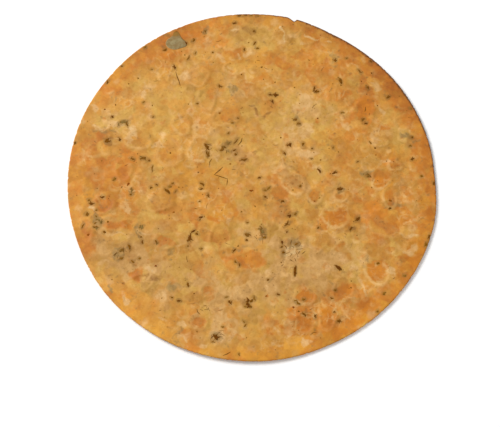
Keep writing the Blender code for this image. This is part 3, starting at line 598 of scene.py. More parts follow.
def small_bubbles(random):
    """Bubbles between the blisters, in the form of BLISTERS."""
    kept = []
    for _ in range(BUBBLE_TRIES):
        angle = random.uniform(0.0, 2.0 * math.pi)
        out = BUBBLE_REACH * math.sqrt(random.uniform(0.0, 1.0))
        x, y = MEAN_RADIUS * out * math.cos(angle), MEAN_RADIUS * out * math.sin(angle)
        size = random.uniform(0.0, 1.0) ** 2
        radius = BUBBLE_RADIUS[0] + (BUBBLE_RADIUS[1] - BUBBLE_RADIUS[0]) * size
        oval = random.uniform(*BUBBLE_OVAL)
        toast = random.uniform(0.0, BUBBLE_TOAST)
        pale = random.uniform(0.0, BUBBLE_PALE)
        share = BUBBLE_SHARE + BUBBLE_SHARE_CHANGE * facing(x, y, BUBBLE_SIDE) * out
        counts = random.uniform(0.0, 1.0) <= share
        if counts and is_clear(x, y, radius, kept):
            kept.append((x / MM, y / MM, radius * oval / MM, radius / oval / MM, toast, pale))
    return kept


BUBBLES = small_bubbles(np.random.default_rng(BUBBLE_SEED))


def ripples(x, y, wavelength, waves, seed):
    """Even noise with a spread of 1: waves of about one length in random directions."""
    random = np.random.default_rng(seed)
    total = np.zeros(np.shape(x))
    for _ in range(waves):
        turn, phase = random.uniform(0.0, 2.0 * math.pi, 2)
        length = wavelength * random.uniform(0.7, 1.4)
        along = x * math.cos(turn) + y * math.sin(turn)
        total = total + np.sin(2.0 * math.pi * along / length + phase)
    return total * math.sqrt(2.0 / waves)


def wrinkle_share(x, y):
    """How far the creases show, from 0 to 1: they come in patches."""
    return smoothstep(-0.3, 1.1, ripples(x, y, *WRINKLE_PATCHES))


def fine_relief(x, y):
    """The uneven skin between the blisters: creases along the zero lines of a noise, and grain."""
    line = np.exp(-((ripples(x, y, *WRINKLE_FIELD) / WRINKLE_WIDTH) ** 2))
    grain = GRAIN_HEIGHT * ripples(x, y, *GRAIN_FIELD)
    fine = FINE_GRAIN_HEIGHT * ripples(x, y, *FINE_GRAIN_FIELD)
    return WRINKLE_HEIGHT * line * wrinkle_share(x, y) + grain + fine - FINE_RELIEF_DROP


def top_height(x, y):
    inside = smoothstep(0.0, EDGE_THINNING_WIDTH, to_edge(x, y))
    thickness = DOUGH_THICKNESS - EDGE_THINNING * (1.0 - inside)
    relief = swell(x, y) + raised(x, y, BLISTERS, BLISTER_FORM)
    fine = raised(x, y, BUBBLES, BUBBLE_FORM) + fine_relief(x, y)
    fine = fine * (FINE_RELIEF_AT_EDGE + (1.0 - FINE_RELIEF_AT_EDGE) * inside)
    return lift(x, y) + thickness + relief * inside + fine


def underside_height(x, y):
    """The underside, with shallow hollows where it puffed up off the griddle."""
    hollows = HOLLOW_DEPTH * np.maximum(ripples(x, y, *HOLLOW_FIELD), 0.0)
    pits = PIT_DEPTH * np.maximum(ripples(x, y, *PIT_FIELD) - PITS_FROM, 0.0)
    return lift(x, y) + (hollows + pits) * smoothstep(0.0, EDGE_THINNING_WIDTH, to_edge(x, y))


def oval_reach(x, y, place):
    """Distance from the middle of an oval, in mm, as a share of its half widths."""
    px, py, half_length, half_width, turn = place
    along, across = turned(x / MM - px, y / MM - py, -turn)
    return np.hypot(along / half_length, across / half_width)


def patches(x, y, places):
    """Strength of the strongest patch at each point: soft ovals."""
    full, gone = PATCH_SOFTNESS
    found = np.zeros(np.shape(x))
    for *place, strength in places:
        near = np.hypot(x / MM - place[0], y / MM - place[1]) < gone * max(place[2:4])
        share = 1.0 - smoothstep(full, gone, oval_reach(x[near], y[near], place))
        found[near] = np.maximum(found[near], strength * share)
    return found


def wandered(x, y):
    """The points moved a little, so that a patch read there has an uneven outline."""
    for along_x, along_y, reach in PATCH_WANDER:
        move_x, move_y = reach * ripples(x, y, *along_x), reach * ripples(x, y, *along_y)
        x, y = x + move_x, y + move_y
    return x, y


def broad_tones(x, y):
    """How much lighter, more orange and duller the dough is at each point."""
    tones = np.zeros((3, *np.shape(x)))
    for *place, light, orange, dull in TONES:
        share = np.exp(-oval_reach(x, y, place) ** 2)
        tones += np.multiply.outer((light, orange, dull), share)
    rim = 1.0 - smoothstep(RIM_FULL_TO, RIM_NONE_FROM, to_edge(x, y))
    angle = np.arctan2(y, x)
    for middle, half_width, light, orange in RIM_STRETCHES:
        share = rim * np.exp(-((past(angle, middle) / half_width) ** 2))
        tones += np.multiply.outer((light, orange, RIM_DULL), share)
    return tones


def nearest_ridge(x, y):
    """Signed distance in mm to the nearest blister's or bubble's ridge, negative inside, and how pale
    that ridge is there, with a painted highlight that makes it palest on one side."""
    nearest = np.full(np.shape(x), NO_RIDGE)
    pale = np.zeros(np.shape(x))
    for blister, near, reach, outline in near_blisters((*BLISTERS, *BUBBLES), x, y):
        distance = (reach - 1.0) * outline / MM
        closer = np.abs(distance) < np.abs(nearest[near])
        nearest[near] = np.where(closer, distance, nearest[near])
        # The ridge's own paleness, with a highlight painted on towards one side.
        side = facing(x[near] - blister[0] * MM, y[near] - blister[1] * MM, RIDGE_HIGHLIGHT_SIDE)
        side = 1.0 - RIDGE_HIGHLIGHT_SWING + RIDGE_HIGHLIGHT_SWING * side
        pale[near] = np.where(closer, blister[5] * np.maximum(side, 0.0), pale[near])
    return nearest, pale


def toast_on_top(x, y):
    toast = patches(x, y, TOASTED_PATCHES)
    for blister, near, reach, _ in near_blisters((*BLISTERS, *BUBBLES), x, y):
        inside = blister[4] * (1.0 - smoothstep(*SKIN_SOFTNESS, reach))
        toast[near] = np.maximum(toast[near], inside)
    return toast


def leaf_halo(x, y):
    """Where the dough beside a fleck of leaf has taken its colour."""
    grown = []
    for px, py, length, width, turn, *_ in (*LARGE_FLECKS, *SMALL_FLECKS):
        grown.append((px, py, 0.5 * length + HALO_REACH, 0.5 * width + HALO_REACH, turn, 1.0))
    return patches(x, y, grown)


def scorch_and_edge_shade(x, y):
    """How dark the edge is, partly scorched and partly painted shade: a narrow dark line, widest on the
    shaded side, and a soft band.
    """
    inset = to_edge(x, y)
    towards = facing(x, y, SCORCH_AND_SHADE_SIDE)
    narrow, wide = SCORCH_LINE
    width = narrow + (wide - narrow) * smoothstep(0.8, 1.0, towards)
    line = 1.0 - smoothstep(0.0, width, inset)
    band = SCORCH_BAND_SHARE * (1.0 - smoothstep(0.0, SCORCH_BAND, inset))
    dark = smoothstep(0.25, 0.8, towards)
    return np.maximum(line, band) * (SCORCH_LEAST + (1.0 - SCORCH_LEAST) * dark)


def disc_grid(cells):
    """Points of an even square grid pressed into a disc of radius 1, and the order of its border."""
    side = np.linspace(-1.0, 1.0, cells + 1)
    u, v = (part.ravel() for part in np.meshgrid(side, side, indexing="ij"))
    wide = np.abs(u) >= np.abs(v)
    reach = np.where(wide, u, v)
    other = np.where(wide, v, u)
    safe = np.where(reach == 0.0, 1.0, reach)
    lean = math.pi / 4 * other / safe
    angle = np.where(wide, lean, math.pi / 2 - lean)
    points = np.stack([reach * np.cos(angle), reach * np.sin(angle)], axis=1)
    row = cells + 1
    last = cells * row
    border = [*range(0, last, row), *range(last, last + cells)]
    border += [*range(last + cells, cells, -row), *range(cells, 0, -1)]
    return points, np.array(border)


def grid_faces(cells, first, flip):
    row = cells + 1
    corner = np.arange(cells * row).reshape(cells, row)[:, :-1].ravel() + first
    faces = np.stack([corner, corner + row, corner + row + 1, corner + 1], axis=1)
    return faces[:, ::-1] if flip else faces


def pressed_out(points, inset):
    """The unit disc's points moved out to the bread's edge, less an inset."""
    share = np.hypot(*points.T)
    angle = np.arctan2(points[:, 1], points[:, 0])
    full = MEAN_RADIUS - inset
    stray = (edge_radius(angle) - MEAN_RADIUS) * smoothstep(0.6, 1.0, share)
    radius = share * full + stray
    return radius * np.cos(angle), radius * np.sin(angle)


def dough_mesh():
    """Corners and faces of the whole sheet: top, rounded edge and a coarser underside."""
    top_points, top_border = disc_grid(TOP_CELLS)
    x, y = pressed_out(top_points, EDGE_ROUNDING)
    corners = [np.stack([x, y, top_height(x, y)], axis=1)]
    faces = [grid_faces(TOP_CELLS, 0, False)]
    ring = top_border
    count = len(ring)
    start = len(x)

    angle = np.arctan2(y[ring], x[ring])
    edge_x, edge_y = np.cos(angle), np.sin(angle)
    inner = edge_radius(angle) - EDGE_ROUNDING
    high = top_height(inner * edge_x, inner * edge_y) - EDGE_ROUNDING
    low = lift(inner * edge_x, inner * edge_y) + EDGE_ROUNDING
    crumbs = ripples(edge_x, edge_y, *CRUMBLE_FIELD) - CRUMBLE_FROM
    crumble = CRUMBLE_DEPTH * np.clip(crumbs, 0.0, CRUMBLE_MOST)
    turns = [math.pi / 2 * step / EDGE_STEPS for step in range(EDGE_STEPS + 1)]
    profile = [(math.sin(turn), high + EDGE_ROUNDING * math.cos(turn)) for turn in turns[1:]]
    profile += [(math.cos(turn), low - EDGE_ROUNDING * math.sin(turn)) for turn in turns[:-1]]
    for out, height in profile:
        radius = inner + EDGE_ROUNDING * out - crumble * out
        corners.append(np.stack([radius * edge_x, radius * edge_y, height], axis=1))
        after = start + np.arange(count)
        faces.append(np.stack([ring, after, np.roll(after, -1), np.roll(ring, -1)], axis=1))
        ring = after
        start += count

    under_points, under_border = disc_grid(TOP_CELLS // 2)
    x, y = pressed_out(under_points, EDGE_ROUNDING)
    corners.append(np.stack([x, y, underside_height(x, y)], axis=1))
    faces.append(grid_faces(TOP_CELLS // 2, start, True))
    below = start + under_border
    after = np.roll(below, -1)
    first, middle, last = ring[0::2], ring[1::2], np.roll(ring[0::2], -1)
    stitches = [(first, below, middle), (middle, below, after), (middle, after, last)]
    faces += [np.stack(stitch, axis=1) for stitch in stitches]
    return np.concatenate(corners), [face for part in faces for face in part.tolist()], start


def new_piece(name, points, faces, material):
    mesh = bpy.data.meshes.new(name)
    mesh.from_pydata(points, [], faces)
    mesh.validate()
    mesh.materials.append(material)
    piece = bpy.data.objects.new(name, mesh)
    bpy.context.scene.collection.objects.link(piece)
    mesh.shade_smooth()
    return piece


def store(piece, name, values):
    attribute = piece.data.attributes.new(name, "FLOAT", "POINT")
    attribute.data.foreach_set("value", np.asarray(values, np.float32))


# The light on the top and the sheen of its skin, which seen() takes out of a colour.
LIGHT = 1.225
SHEEN = 0.028


def seen(*screen_colour):
    """The base colour, in the shader's linear values, that shows as this colour of 0 to 255 a
    channel in the scene's light."""
    channels = []
    for value in screen_colour:
        value = value / 255.0
        value = value / 12.92 if value <= 0.04045 else ((value + 0.055) / 1.055) ** 2.4
        channels.append(max((value - SHEEN) / LIGHT, 0.002))
    return (*channels, 1.0)


class Shader:
    """A new material with helpers that add nodes and return their outputs."""

    def __init__(self, name):
        self.material = bpy.data.materials.new(name)
        self.material.use_nodes = True
        self.tree = self.material.node_tree
        self.surface = self.tree.nodes["Principled BSDF"]

    def set(self, node, inputs):
        """Links a node's inputs to other nodes' outputs, or sets them to plain values."""
        for name, value in inputs.items():
            if isinstance(value, bpy.types.NodeSocket):
                self.tree.links.new(value, node.inputs[name])
            else:
                node.inputs[name].default_value = value

    def node(self, kind, inputs, **options):
        """Adds a node with these options and inputs."""
        made = self.tree.nodes.new("ShaderNode" + kind)
        for name, value in options.items():
            setattr(made, name, value)
        self.set(made, inputs)
        return made

    def place(self):
        """Where on the piece, in mm."""
        inputs = {0: self.node("TexCoord", {}).outputs["Object"], "Scale": 1.0 / MM}
        return self.node("VectorMath", inputs, operation="SCALE").outputs[0]

    def stored(self, name):
        return self.node("Attribute", {}, attribute_name=name).outputs["Fac"]

    def noise(self, place, size, detail=2.0, roughness=0.5, distortion=0.0, seed=0.0):
        """Noise from 0 to 1 whose blotches are about size mm wide."""
        inputs = {"Vector": place, "W": seed, "Scale": 1.0 / size, "Detail": detail}
        inputs.update({"Roughness": roughness, "Distortion": distortion})
        return self.node("TexNoise", inputs, noise_dimensions="4D").outputs["Fac"]

    def warped(self, place, size, reach):
        """The place moved by up to about reach mm, by noise whose blotches are about size mm."""
        noise = self.node("TexNoise", {"Vector": place, "Scale": 1.0 / size}).outputs["Color"]
        inputs = {0: noise, 1: (0.5, 0.5, 0.5)}
        centred = self.node("VectorMath", inputs, operation="SUBTRACT").outputs[0]
        inputs = {0: centred, 1: (2.0 * reach, 2.0 * reach, 0.0), 2: place}
        return self.node("VectorMath", inputs, operation="MULTIPLY_ADD").outputs[0]

    def split(self, colour):
        """The red, green and blue of a colour."""
        return self.node("SeparateColor", {"Color": colour}).outputs[:3]

    def cells(self, place, size):
        """Scattered spots about size mm apart: how near the middle of one, and its random value."""
        spots = self.node("TexVoronoi", {"Vector": place, "Scale": 1.0 / size}).outputs
        return self.step(spots["Distance"], 0.50, 0.12), self.split(spots["Color"])[0]

    def spots(self, cells, low, high):
        """The spots whose random value lies between low and high."""
        nearness, value = cells
        above = self.maths("GREATER_THAN", value, low)
        return self.times(nearness, self.times(above, self.maths("LESS_THAN", value, high)))

    def net(self, place, size, width):
        """Lines of a net whose meshes are about size mm: 1 in the middle of a line."""
        inputs = {"Vector": place, "Scale": 1.0 / size}
        options = {"voronoi_dimensions": "2D", "feature": "DISTANCE_TO_EDGE"}
        distance = self.node("TexVoronoi", inputs, **options).outputs["Distance"]
        return self.step(distance, width / size, 0.0)

    def fields(self, place, size, softness):
        """Three random values, each nearly even inside fields about size mm wide."""
        inputs = {"Vector": place, "Scale": 1.0 / size, "Smoothness": softness}
        options = {"voronoi_dimensions": "2D", "feature": "SMOOTH_F1"}
        return self.split(self.node("TexVoronoi", inputs, **options).outputs["Color"])

    def maths(self, operation, *values):
        return self.node("Math", dict(enumerate(values)), operation=operation).outputs[0]

    def times(self, first, *others):
        for other in others:
            first = self.maths("MULTIPLY", first, other)
        return first

    def channels(self, value, shares):
        """A colour with 1 plus a share of the value in each channel, and never near black."""
        made = {}
        for channel, share in enumerate(shares):
            made[channel] = self.maths("MAXIMUM", self.maths("MULTIPLY_ADD", value, share, 1.0), 0.12)
        return self.node("CombineColor", made).outputs["Color"]

    def swayed(self, value, noise, reach):
        """value moved up and down by noise, by up to about half of reach."""
        return self.maths("MULTIPLY_ADD", self.maths("SUBTRACT", noise, 0.5), reach, value)

    def step(self, value, low, high, to_low=0.0, to_high=1.0):
        """value from low to high, smoothly mapped to to_low to to_high."""
        inputs = {"Value": value, "From Min": low, "From Max": high}
        inputs.update({"To Min": to_low, "To Max": to_high})
        return self.node("MapRange", inputs, interpolation_type="SMOOTHSTEP").outputs["Result"]

    def mix(self, share, first, second, blend="MIX"):
        inputs = {0: share, 6: first, 7: second}
        return self.node("Mix", inputs, data_type="RGBA", blend_type=blend).outputs[2]

    def layer(self, under, over, value, low, high, share=1.0):
        """A colour laid over another where value goes from low to high."""
        return self.mix(self.step(value, low, high, 0.0, share), under, over)

    def finish(self, colour, roughness, gloss):
        inputs = {"Base Color": colour, "Roughness": roughness, "Specular IOR Level": gloss}
        self.set(self.surface, inputs)

    def bump(self, height, strength, distance):
        inputs = {"Height": height, "Strength": strength, "Distance": distance}
        self.set(self.surface, {"Normal": self.node("Bump", inputs).outputs["Normal"]})


GOLD = seen(210, 150, 72)
YELLOW = seen(209, 161, 82)
ORANGE = seen(206, 131, 57)
BEIGE = seen(207, 159, 97)
RICH_GOLD = seen(214, 148, 60)
TOASTED = seen(204, 126, 49)
DEEP_TOASTED = seen(185, 107, 44)
PALE_SKIN = seen(224, 178, 118)
CREAM = seen(235, 200, 146)
RIDGE_PALE = seen(227, 177, 110)
PINK_BEIGE = seen(211, 160, 104)
DULL_BEIGE = seen(192, 147, 86)
GREY_STAIN = seen(150, 124, 80)
BROWN_STAIN = seen(158, 110, 58)
LEAF_HALO = seen(160, 118, 62)
CRACK_BROWN = seen(150, 100, 56)
# The two browns of the edge below are scorching and painted shade both.
EDGE_BROWN_AND_SHADE = seen(108, 74, 42)
RIM_BROWN_AND_SHADE = seen(166, 100, 44)

# Noise in the dough's skin: size in mm, detail, roughness and distortion.
MIDDLING_NOISE = (4.6, 3.0, 0.6, 0.8)
FINE_NOISE = (1.9, 2.0, 0.55, 0.5)
GRAIN_NOISE = (0.9, 2.0, 0.6)
# The three tones of the roasting, and how much a light of 1 adds to the red, the green and the blue.
TONE_NAMES = ("light", "orange", "dull")
LIGHT_SHARES = (0.17, 0.23, 0.40)
# What unsettles the tones: soft blotches, and fields with firmer borders. Each line has the size in
# mm and the reach for light, orange and dull.
TONE_BLOTCHES = ((11.0, 1.8, 2.8, 2.4), (4.2, 1.6, 1.4, 1.4))
TONE_FIELDS = ((7.0, 1.1, 1.2, 0.8), (3.4, 0.95, 0.5, 0.35))
FIELD_SOFTNESS = 0.35
# The dough's own colour, in layers over YELLOW: the tone that it follows, from where it starts to
# where it is full, how far it covers, and the colour.
DOUGH_LAYERS = (
    ("orange", -1.0, 0.1, 1.0, GOLD),
    ("orange", 0.0, 1.0, 1.0, ORANGE),
    ("dull", 0.1, 1.1, 1.0, BEIGE),
    ("dull", -0.1, -1.1, 0.8, RICH_GOLD),
)
# Spots: their distance and by how much noise moves them, in mm, and how far they cover. Then their
# colours, and the random values from and up to which a spot takes each.
SPOT_KINDS = ((5.6, 3.0, 2.2, 0.45), (2.5, 1.6, 1.0, 0.2))
SPOT_COLOURS = (
    (PALE_SKIN, 0.0, 0.13),
    (TOASTED, 0.2, 0.33),
    (YELLOW, 0.4, 0.52),
    (DULL_BEIGE, 0.6, 0.72),
    (PINK_BEIGE, 0.8, 0.92),
)
# What lies on that: the stored strength, how ragged its outline is, and the colours, each with the
# strength at which it starts and is full, and how far it covers. The stains are leaf under the skin,
# and the halo is the dough beside a fleck.
PATCH_LAYERS = (
    ("pale", 1.0, ((PALE_SKIN, 0.15, 0.85, 0.75), (CREAM, 0.85, 1.40, 0.8))),
    ("toast", 0.8, ((TOASTED, 0.15, 0.75, 0.9), (DEEP_TOASTED, 0.80, 1.40, 0.8))),
    ("grey_stain", 1.5, ((GREY_STAIN, 0.10, 0.90, 0.75),)),
    ("brown_stain", 1.5, ((BROWN_STAIN, 0.10, 0.90, 0.75),)),
    ("halo", 1.5, ((LEAF_HALO, 0.10, 0.90, 0.6),)),
)
# The scorched edge and its painted shade, in the same form.
SCORCH_LAYERS = ((RIM_BROWN_AND_SHADE, 0.25, 0.60, 0.6), (EDGE_BROWN_AND_SHADE, 0.50, 0.90, 0.9))
# The meshes of the net of pale lines and of the cracks, and the widths of their lines, in mm.
PALE_NET = (7.0, 1.1)
CRACK_NET = (1.7, 0.12)
LINE_COVER = 0.95
# The fine grain's dark and bright spots, times the dough's colour.
GRAIN_DARK = (0.83, 0.77, 0.58, 1.0)
GRAIN_BRIGHT = (1.11, 1.16, 1.32, 1.0)


def dough_tones(shader, place, bent):
    """The stored tones, unsettled by blotches and fields."""
    tones = {name: shader.stored(name) for name in TONE_NAMES}
    for size, *reaches in TONE_BLOTCHES:
        for order, (name, reach) in enumerate(zip(TONE_NAMES, reaches)):
            blotch = shader.noise(place, size, 2.0, 0.5, 0.6, seed=3.0 * order + size)
            tones[name] = shader.swayed(tones[name], blotch, reach)
    for size, *reaches in TONE_FIELDS:
        fields = shader.fields(bent, size, FIELD_SOFTNESS)
        for name, field, reach in zip(TONE_NAMES, fields, reaches):
            tones[name] = shader.swayed(tones[name], field, reach)
    return tones


def pale_lines(shader, middling, fine, bent):
    """Where the skin's pale lines lie: ridges, creases and the borders of a wide net."""
    from_ridge = shader.swayed(shader.stored("ridge_distance"), middling, 2.0)
    from_ridge = shader.maths("ABSOLUTE", shader.swayed(from_ridge, fine, 1.0))
    ridge = shader.times(shader.step(from_ridge, 1.25, 0.15), shader.stored("ridge_pale_and_highlight"))
    ridge = shader.times(ridge, shader.step(middling, 0.36, 0.56, 0.6, 1.0))
    share = shader.stored("wrinkle_share")
    crease = shader.maths("ABSOLUTE", shader.swayed(shader.stored("wrinkle"), fine, 0.7))
    crease = shader.times(shader.step(crease, 0.40, 0.04), share)
    crease = shader.times(crease, shader.step(middling, 0.40, 0.62, 0.0, 0.5))
    border = shader.times(shader.net(bent, *PALE_NET), share)
    border = shader.times(border, shader.step(middling, 0.44, 0.62, 0.0, 0.75))
    return shader.maths("MAXIMUM", ridge, shader.maths("MAXIMUM", crease, border))


def dough_material():
    shader = Shader("roasted_dough")
    place = shader.place()
    middling = shader.noise(place, *MIDDLING_NOISE)
    fine = shader.noise(place, *FINE_NOISE)
    grain = shader.noise(place, *GRAIN_NOISE)
    bent = shader.warped(shader.warped(place, 5.0, 2.2), 1.8, 0.7)
    tones = dough_tones(shader, place, bent)

    colour = YELLOW
    for tone, low, high, share, over in DOUGH_LAYERS:
        colour = shader.layer(colour, over, tones[tone], low, high, share)
    for distance, wander_size, wander, share in SPOT_KINDS:
        cells = shader.cells(shader.warped(place, wander_size, wander), distance)
        for over, low, high in SPOT_COLOURS:
            colour = shader.mix(shader.times(shader.spots(cells, low, high), share), colour, over)

    ragged = shader.swayed(shader.swayed(0.0, middling, 1.0), fine, 0.9)
    strengths = {}
    for name, reach, layers in PATCH_LAYERS:
        strengths[name] = shader.maths("MULTIPLY_ADD", ragged, reach, shader.stored(name))
        for over, *limits in layers:
            colour = shader.layer(colour, over, strengths[name], *limits)
    line = pale_lines(shader, middling, fine, bent)
    colour = shader.mix(shader.times(line, LINE_COVER), colour, RIDGE_PALE)

    # Fine cracks.
    cracked = shader.step(shader.maths("ADD", shader.stored("cracked"), ragged), 0.2, 0.8)
    net = shader.net(shader.warped(place, 1.2, 0.8), *CRACK_NET)
    net = shader.times(net, shader.step(fine, 0.42, 0.58, 0.1, 0.8))
    colour = shader.mix(shader.times(net, cracked), colour, CRACK_BROWN)

    # The roasting's light and dark, with painted shade on the rim's upper right, the scorched edge with
    # its painted shade, and the fine grain.
    colour = shader.mix(1.0, colour, shader.channels(tones["light"], LIGHT_SHARES), "MULTIPLY")
    edge = shader.swayed(shader.stored("scorch_and_edge_shade"), fine, 1.2)
    for over, *limits in SCORCH_LAYERS:
        colour = shader.layer(colour, over, edge, *limits)
    dark = shader.mix(1.0, colour, GRAIN_DARK, "MULTIPLY")
    colour = shader.layer(colour, dark, fine, 0.50, 0.36, 0.5)
    bright = shader.mix(1.0, colour, GRAIN_BRIGHT, "MULTIPLY")
    colour = shader.layer(colour, bright, grain, 0.52, 0.70, 0.6)

    shader.finish(colour, shader.step(strengths["toast"], 0.1, 1.0, 0.66, 0.52), 0.35)
    height = shader.maths("MULTIPLY_ADD", fine, 0.7, shader.times(grain, 0.3))
    height = shader.maths("MULTIPLY_ADD", cells[0], 0.3, height)
    shader.bump(height, 0.4, 0.16 * MM)
    return shader.material


# Leaf, stalks and specks: the colours that their look runs through, from dark over brown to grey,
# and the softer colour of their edges.
LEAF_COLOURS = {
    "leaf": (seen(114, 74, 12), seen(137, 92, 34), seen(147, 124, 78)),
    "pale_leaf": (seen(124, 82, 24), seen(142, 98, 38), seen(158, 116, 60)),
    "chilli": (seen(126, 70, 30), seen(150, 86, 38), seen(160, 100, 48)),
    "stalk": (seen(104, 70, 32), seen(134, 94, 50), seen(160, 120, 74)),
}
SOFT_EDGE = seen(156, 114, 58)
# The broad leaf: its two greys, its veins, its tip, and its pale and dark edges.
LEAF_GREY = seen(154, 131, 94)
LEAF_PALE_GREY = seen(164, 148, 111)
LEAF_VEINS = seen(144, 121, 83)
# What the leaf's colour turns to along its stored strengths: how ragged the border is, where it
# starts and is full, and how far it covers.
BROAD_LEAF_LAYERS = (
    ("tip", seen(156, 118, 68), 1.6, 0.15, 0.85, 0.95),
    ("pale_edge", seen(202, 166, 116), 2.0, 0.35, 1.0, 0.8),
    ("dark_edge", seen(128, 90, 46), 2.0, 0.35, 0.95, 0.85),
)
LEAF_ROUGHNESS = 0.85
LEAF_GLOSS = 0.06
LEAF_BUMP = 0.2 * MM


def leaf_material(name):
    """Dried leaf, veined, with softer edges."""
    dark, brown, grey = LEAF_COLOURS[name]
    shader = Shader(name)
    veins = shader.noise(shader.place(), 0.8, 3.0, 0.6, 0.4)
    look = shader.swayed(shader.stored("look"), veins, 1.6)
    colour = shader.layer(dark, brown, look, 0.0, 0.5)
    colour = shader.layer(colour, grey, look, 0.5, 1.0)
    edge = shader.swayed(shader.stored("edge"), veins, 1.5)
    colour = shader.layer(colour, SOFT_EDGE, edge, 0.2, 1.0, 0.85)
    shader.finish(colour, LEAF_ROUGHNESS, LEAF_GLOSS)
    shader.bump(veins, 0.5, LEAF_BUMP)
    return shader.material


def broad_leaf_material():
    """Grey green, browner towards the tip, with a pale edge on one side and a dark one opposite."""
    shader = Shader("grey_leaf")
    place = shader.place()
    veins = shader.noise(place, 1.1, 3.0, 0.6, 0.6)
    blotches = shader.noise(place, 2.6, 2.0, 0.5, 0.6)
    colour = shader.layer(LEAF_GREY, LEAF_PALE_GREY, blotches, 0.38, 0.62)
    colour = shader.layer(colour, LEAF_VEINS, veins, 0.50, 0.36, 0.6)
    for name, over, ragged, *limits in BROAD_LEAF_LAYERS:
        strength = shader.swayed(shader.stored(name), blotches, ragged)
        colour = shader.layer(colour, over, strength, *limits)
    shader.finish(colour, LEAF_ROUGHNESS, LEAF_GLOSS)
    shader.bump(veins, 0.5, LEAF_BUMP)
    return shader.material


def make_dough():
    points, faces, under_start = dough_mesh()
    piece = new_piece("dough", points.tolist(), faces, dough_material())
    x, y = points[:, 0], points[:, 1]
    is_under = np.arange(len(points)) >= under_start
    wandering = wandered(x, y)
    distance, ridge_pale_and_highlight = nearest_ridge(x, y)
    on_top = {
        "toast": toast_on_top(*wandering),
        "pale": patches(*wandering, PALE_PATCHES),
        "grey_stain": patches(*wandering, GREY_STAINS),
        "brown_stain": patches(*wandering, BROWN_STAINS),
        "cracked": patches(*wandering, CRACKED_PATCHES),
        "halo": leaf_halo(x, y),
        "ridge_distance": distance,
        "wrinkle": ripples(x, y, *WRINKLE_FIELD),
    }
    below = {
        "toast": smoothstep(0.3, 1.5, ripples(x, y, *UNDER_TOAST_FIELD)),
        "pale": 0.7 * smoothstep(0.4, 1.6, ripples(x, y, *UNDER_PALE_FIELD)),
        "ridge_distance": NO_RIDGE,
        "wrinkle": NO_RIDGE,
    }
    for name, values in on_top.items():
        store(piece, name, np.where(is_under, below.get(name, 0.0), values))
    for name, values in zip(TONE_NAMES, broad_tones(x, y)):
        store(piece, name, np.where(is_under, 0.3 * values, values))
    calm_rim = smoothstep(1.5 * MM, 8.0 * MM, to_edge(x, y))
    store(piece, "ridge_pale_and_highlight", ridge_pale_and_highlight * calm_rim)
    store(piece, "wrinkle_share", wrinkle_share(x, y) * calm_rim)
    store(piece, "scorch_and_edge_shade", scorch_and_edge_shade(x, y))
    return piece


def bands(count, rings):
    """Faces of the bands between rings of count corners each."""
    faces = []
    for low in range(0, (rings - 1) * count, count):
        for index in range(count):
            after = (index + 1) % count
            faces.append((low + index, low + after, low + count + after, low + count + index))
    return faces


def mound(count, rings):
    """Faces of a closed mound: its foot, its bands, and a fan from the last ring to one point."""
    last = (rings - 1) * count
    fan = [(last + index, last + (index + 1) % count, last + count) for index in range(count)]
    return [tuple(reversed(range(count))), *bands(count, rings), *fan]


def scrap(place, form, random, bend=0.0):
    """One ragged scrap of leaf, its foot in the dough: places and rise above the dough, faces, and
    how near each point is to the scrap's edge, from 0 to 1."""
    x, y, length, width, turn = place
    corners, proud, sunk = form
    angles = (np.arange(corners) + random.uniform(-0.3, 0.3, corners)) * 2.0 * math.pi / corners
    ragged = 1.0 + random.uniform(-SCRAP_RAGGED, SCRAP_RAGGED, corners)
    along = 0.5 * length * MM * ragged * np.cos(angles)
    across = 0.5 * width * MM * ragged * np.sin(angles)
    rings = []
    for share, height in ((1.0, -sunk), (0.94, proud * 0.55), (0.55, proud)):
        rise = np.full(corners, height)
        if height > 0.0:
            rise = rise * random.uniform(0.75, 1.0, corners)
        aside = share * across + 2.0 * bend * (share * along) ** 2 / (length * MM)
        out_x, out_y = turned(share * along, aside, turn)
        rings.append(np.stack([x * MM + out_x, y * MM + out_y, rise], axis=1))
    points = np.concatenate([*rings, [[x * MM, y * MM, 0.7 * proud]]])
    edge = np.concatenate([np.ones(corners), np.full(corners, 0.8), np.zeros(corners + 1)])
    return points, mound(corners, len(rings)), edge


def on_dough(parts):
    """Joins parts whose third coordinate is their rise above the dough, and lays them on it."""
    points, faces, start = [], [], 0
    for part_points, part_faces, _ in parts:
        points.append(part_points)
        faces.extend(tuple(corner + start for corner in face) for face in part_faces)
        start += len(part_points)
    points = np.concatenate(points)
    points[:, 2] += top_height(points[:, 0], points[:, 1])
    return points.tolist(), faces


def leaf_piece(name, parts, looks, material):
    """A piece of joined scraps, each with a look of its own."""
    points, faces = on_dough(parts)
    piece = new_piece(name, points, faces, material)
    store(piece, "look", np.repeat(looks, [len(part[0]) for part in parts]))
    store(piece, "edge", np.concatenate([part[2] for part in parts]))
    return piece


def beside(place, shift, aside):
    """A point shifted along and across a fleck's own length, in mm."""
    x, y, _, _, turn = place
    out_x, out_y = turned(shift, aside, turn)
    return x + out_x, y + out_y


def drawn(random, bounds):
    """A random value between two bounds, or the one value where there is only one."""
    return random.uniform(*bounds) if len(bounds) > 1 else bounds[0]


def torn_part(fleck, kind, random):
    """One strand or the body of a large fleck."""
    length, width, turn = fleck[2:]
    spread, length_shares, width_shares, curve = kind
    most_shift, most_aside, most_turn = STRAND_SPREAD
    shift = spread * random.uniform(-most_shift, most_shift) * length
    aside = spread * random.uniform(-most_aside, most_aside) * width
    part_length = length * drawn(random, length_shares)
    part_width = max(width * drawn(random, width_shares), PART_MIN_WIDTH)
    part_turn = turn + spread * random.uniform(-most_turn, most_turn)
    bend = curve * random.uniform(-1.0, 1.0)
    place = (*beside(fleck, shift, aside), part_length, part_width, part_turn)
    return scrap(place, STRAND_FORM, random, bend)


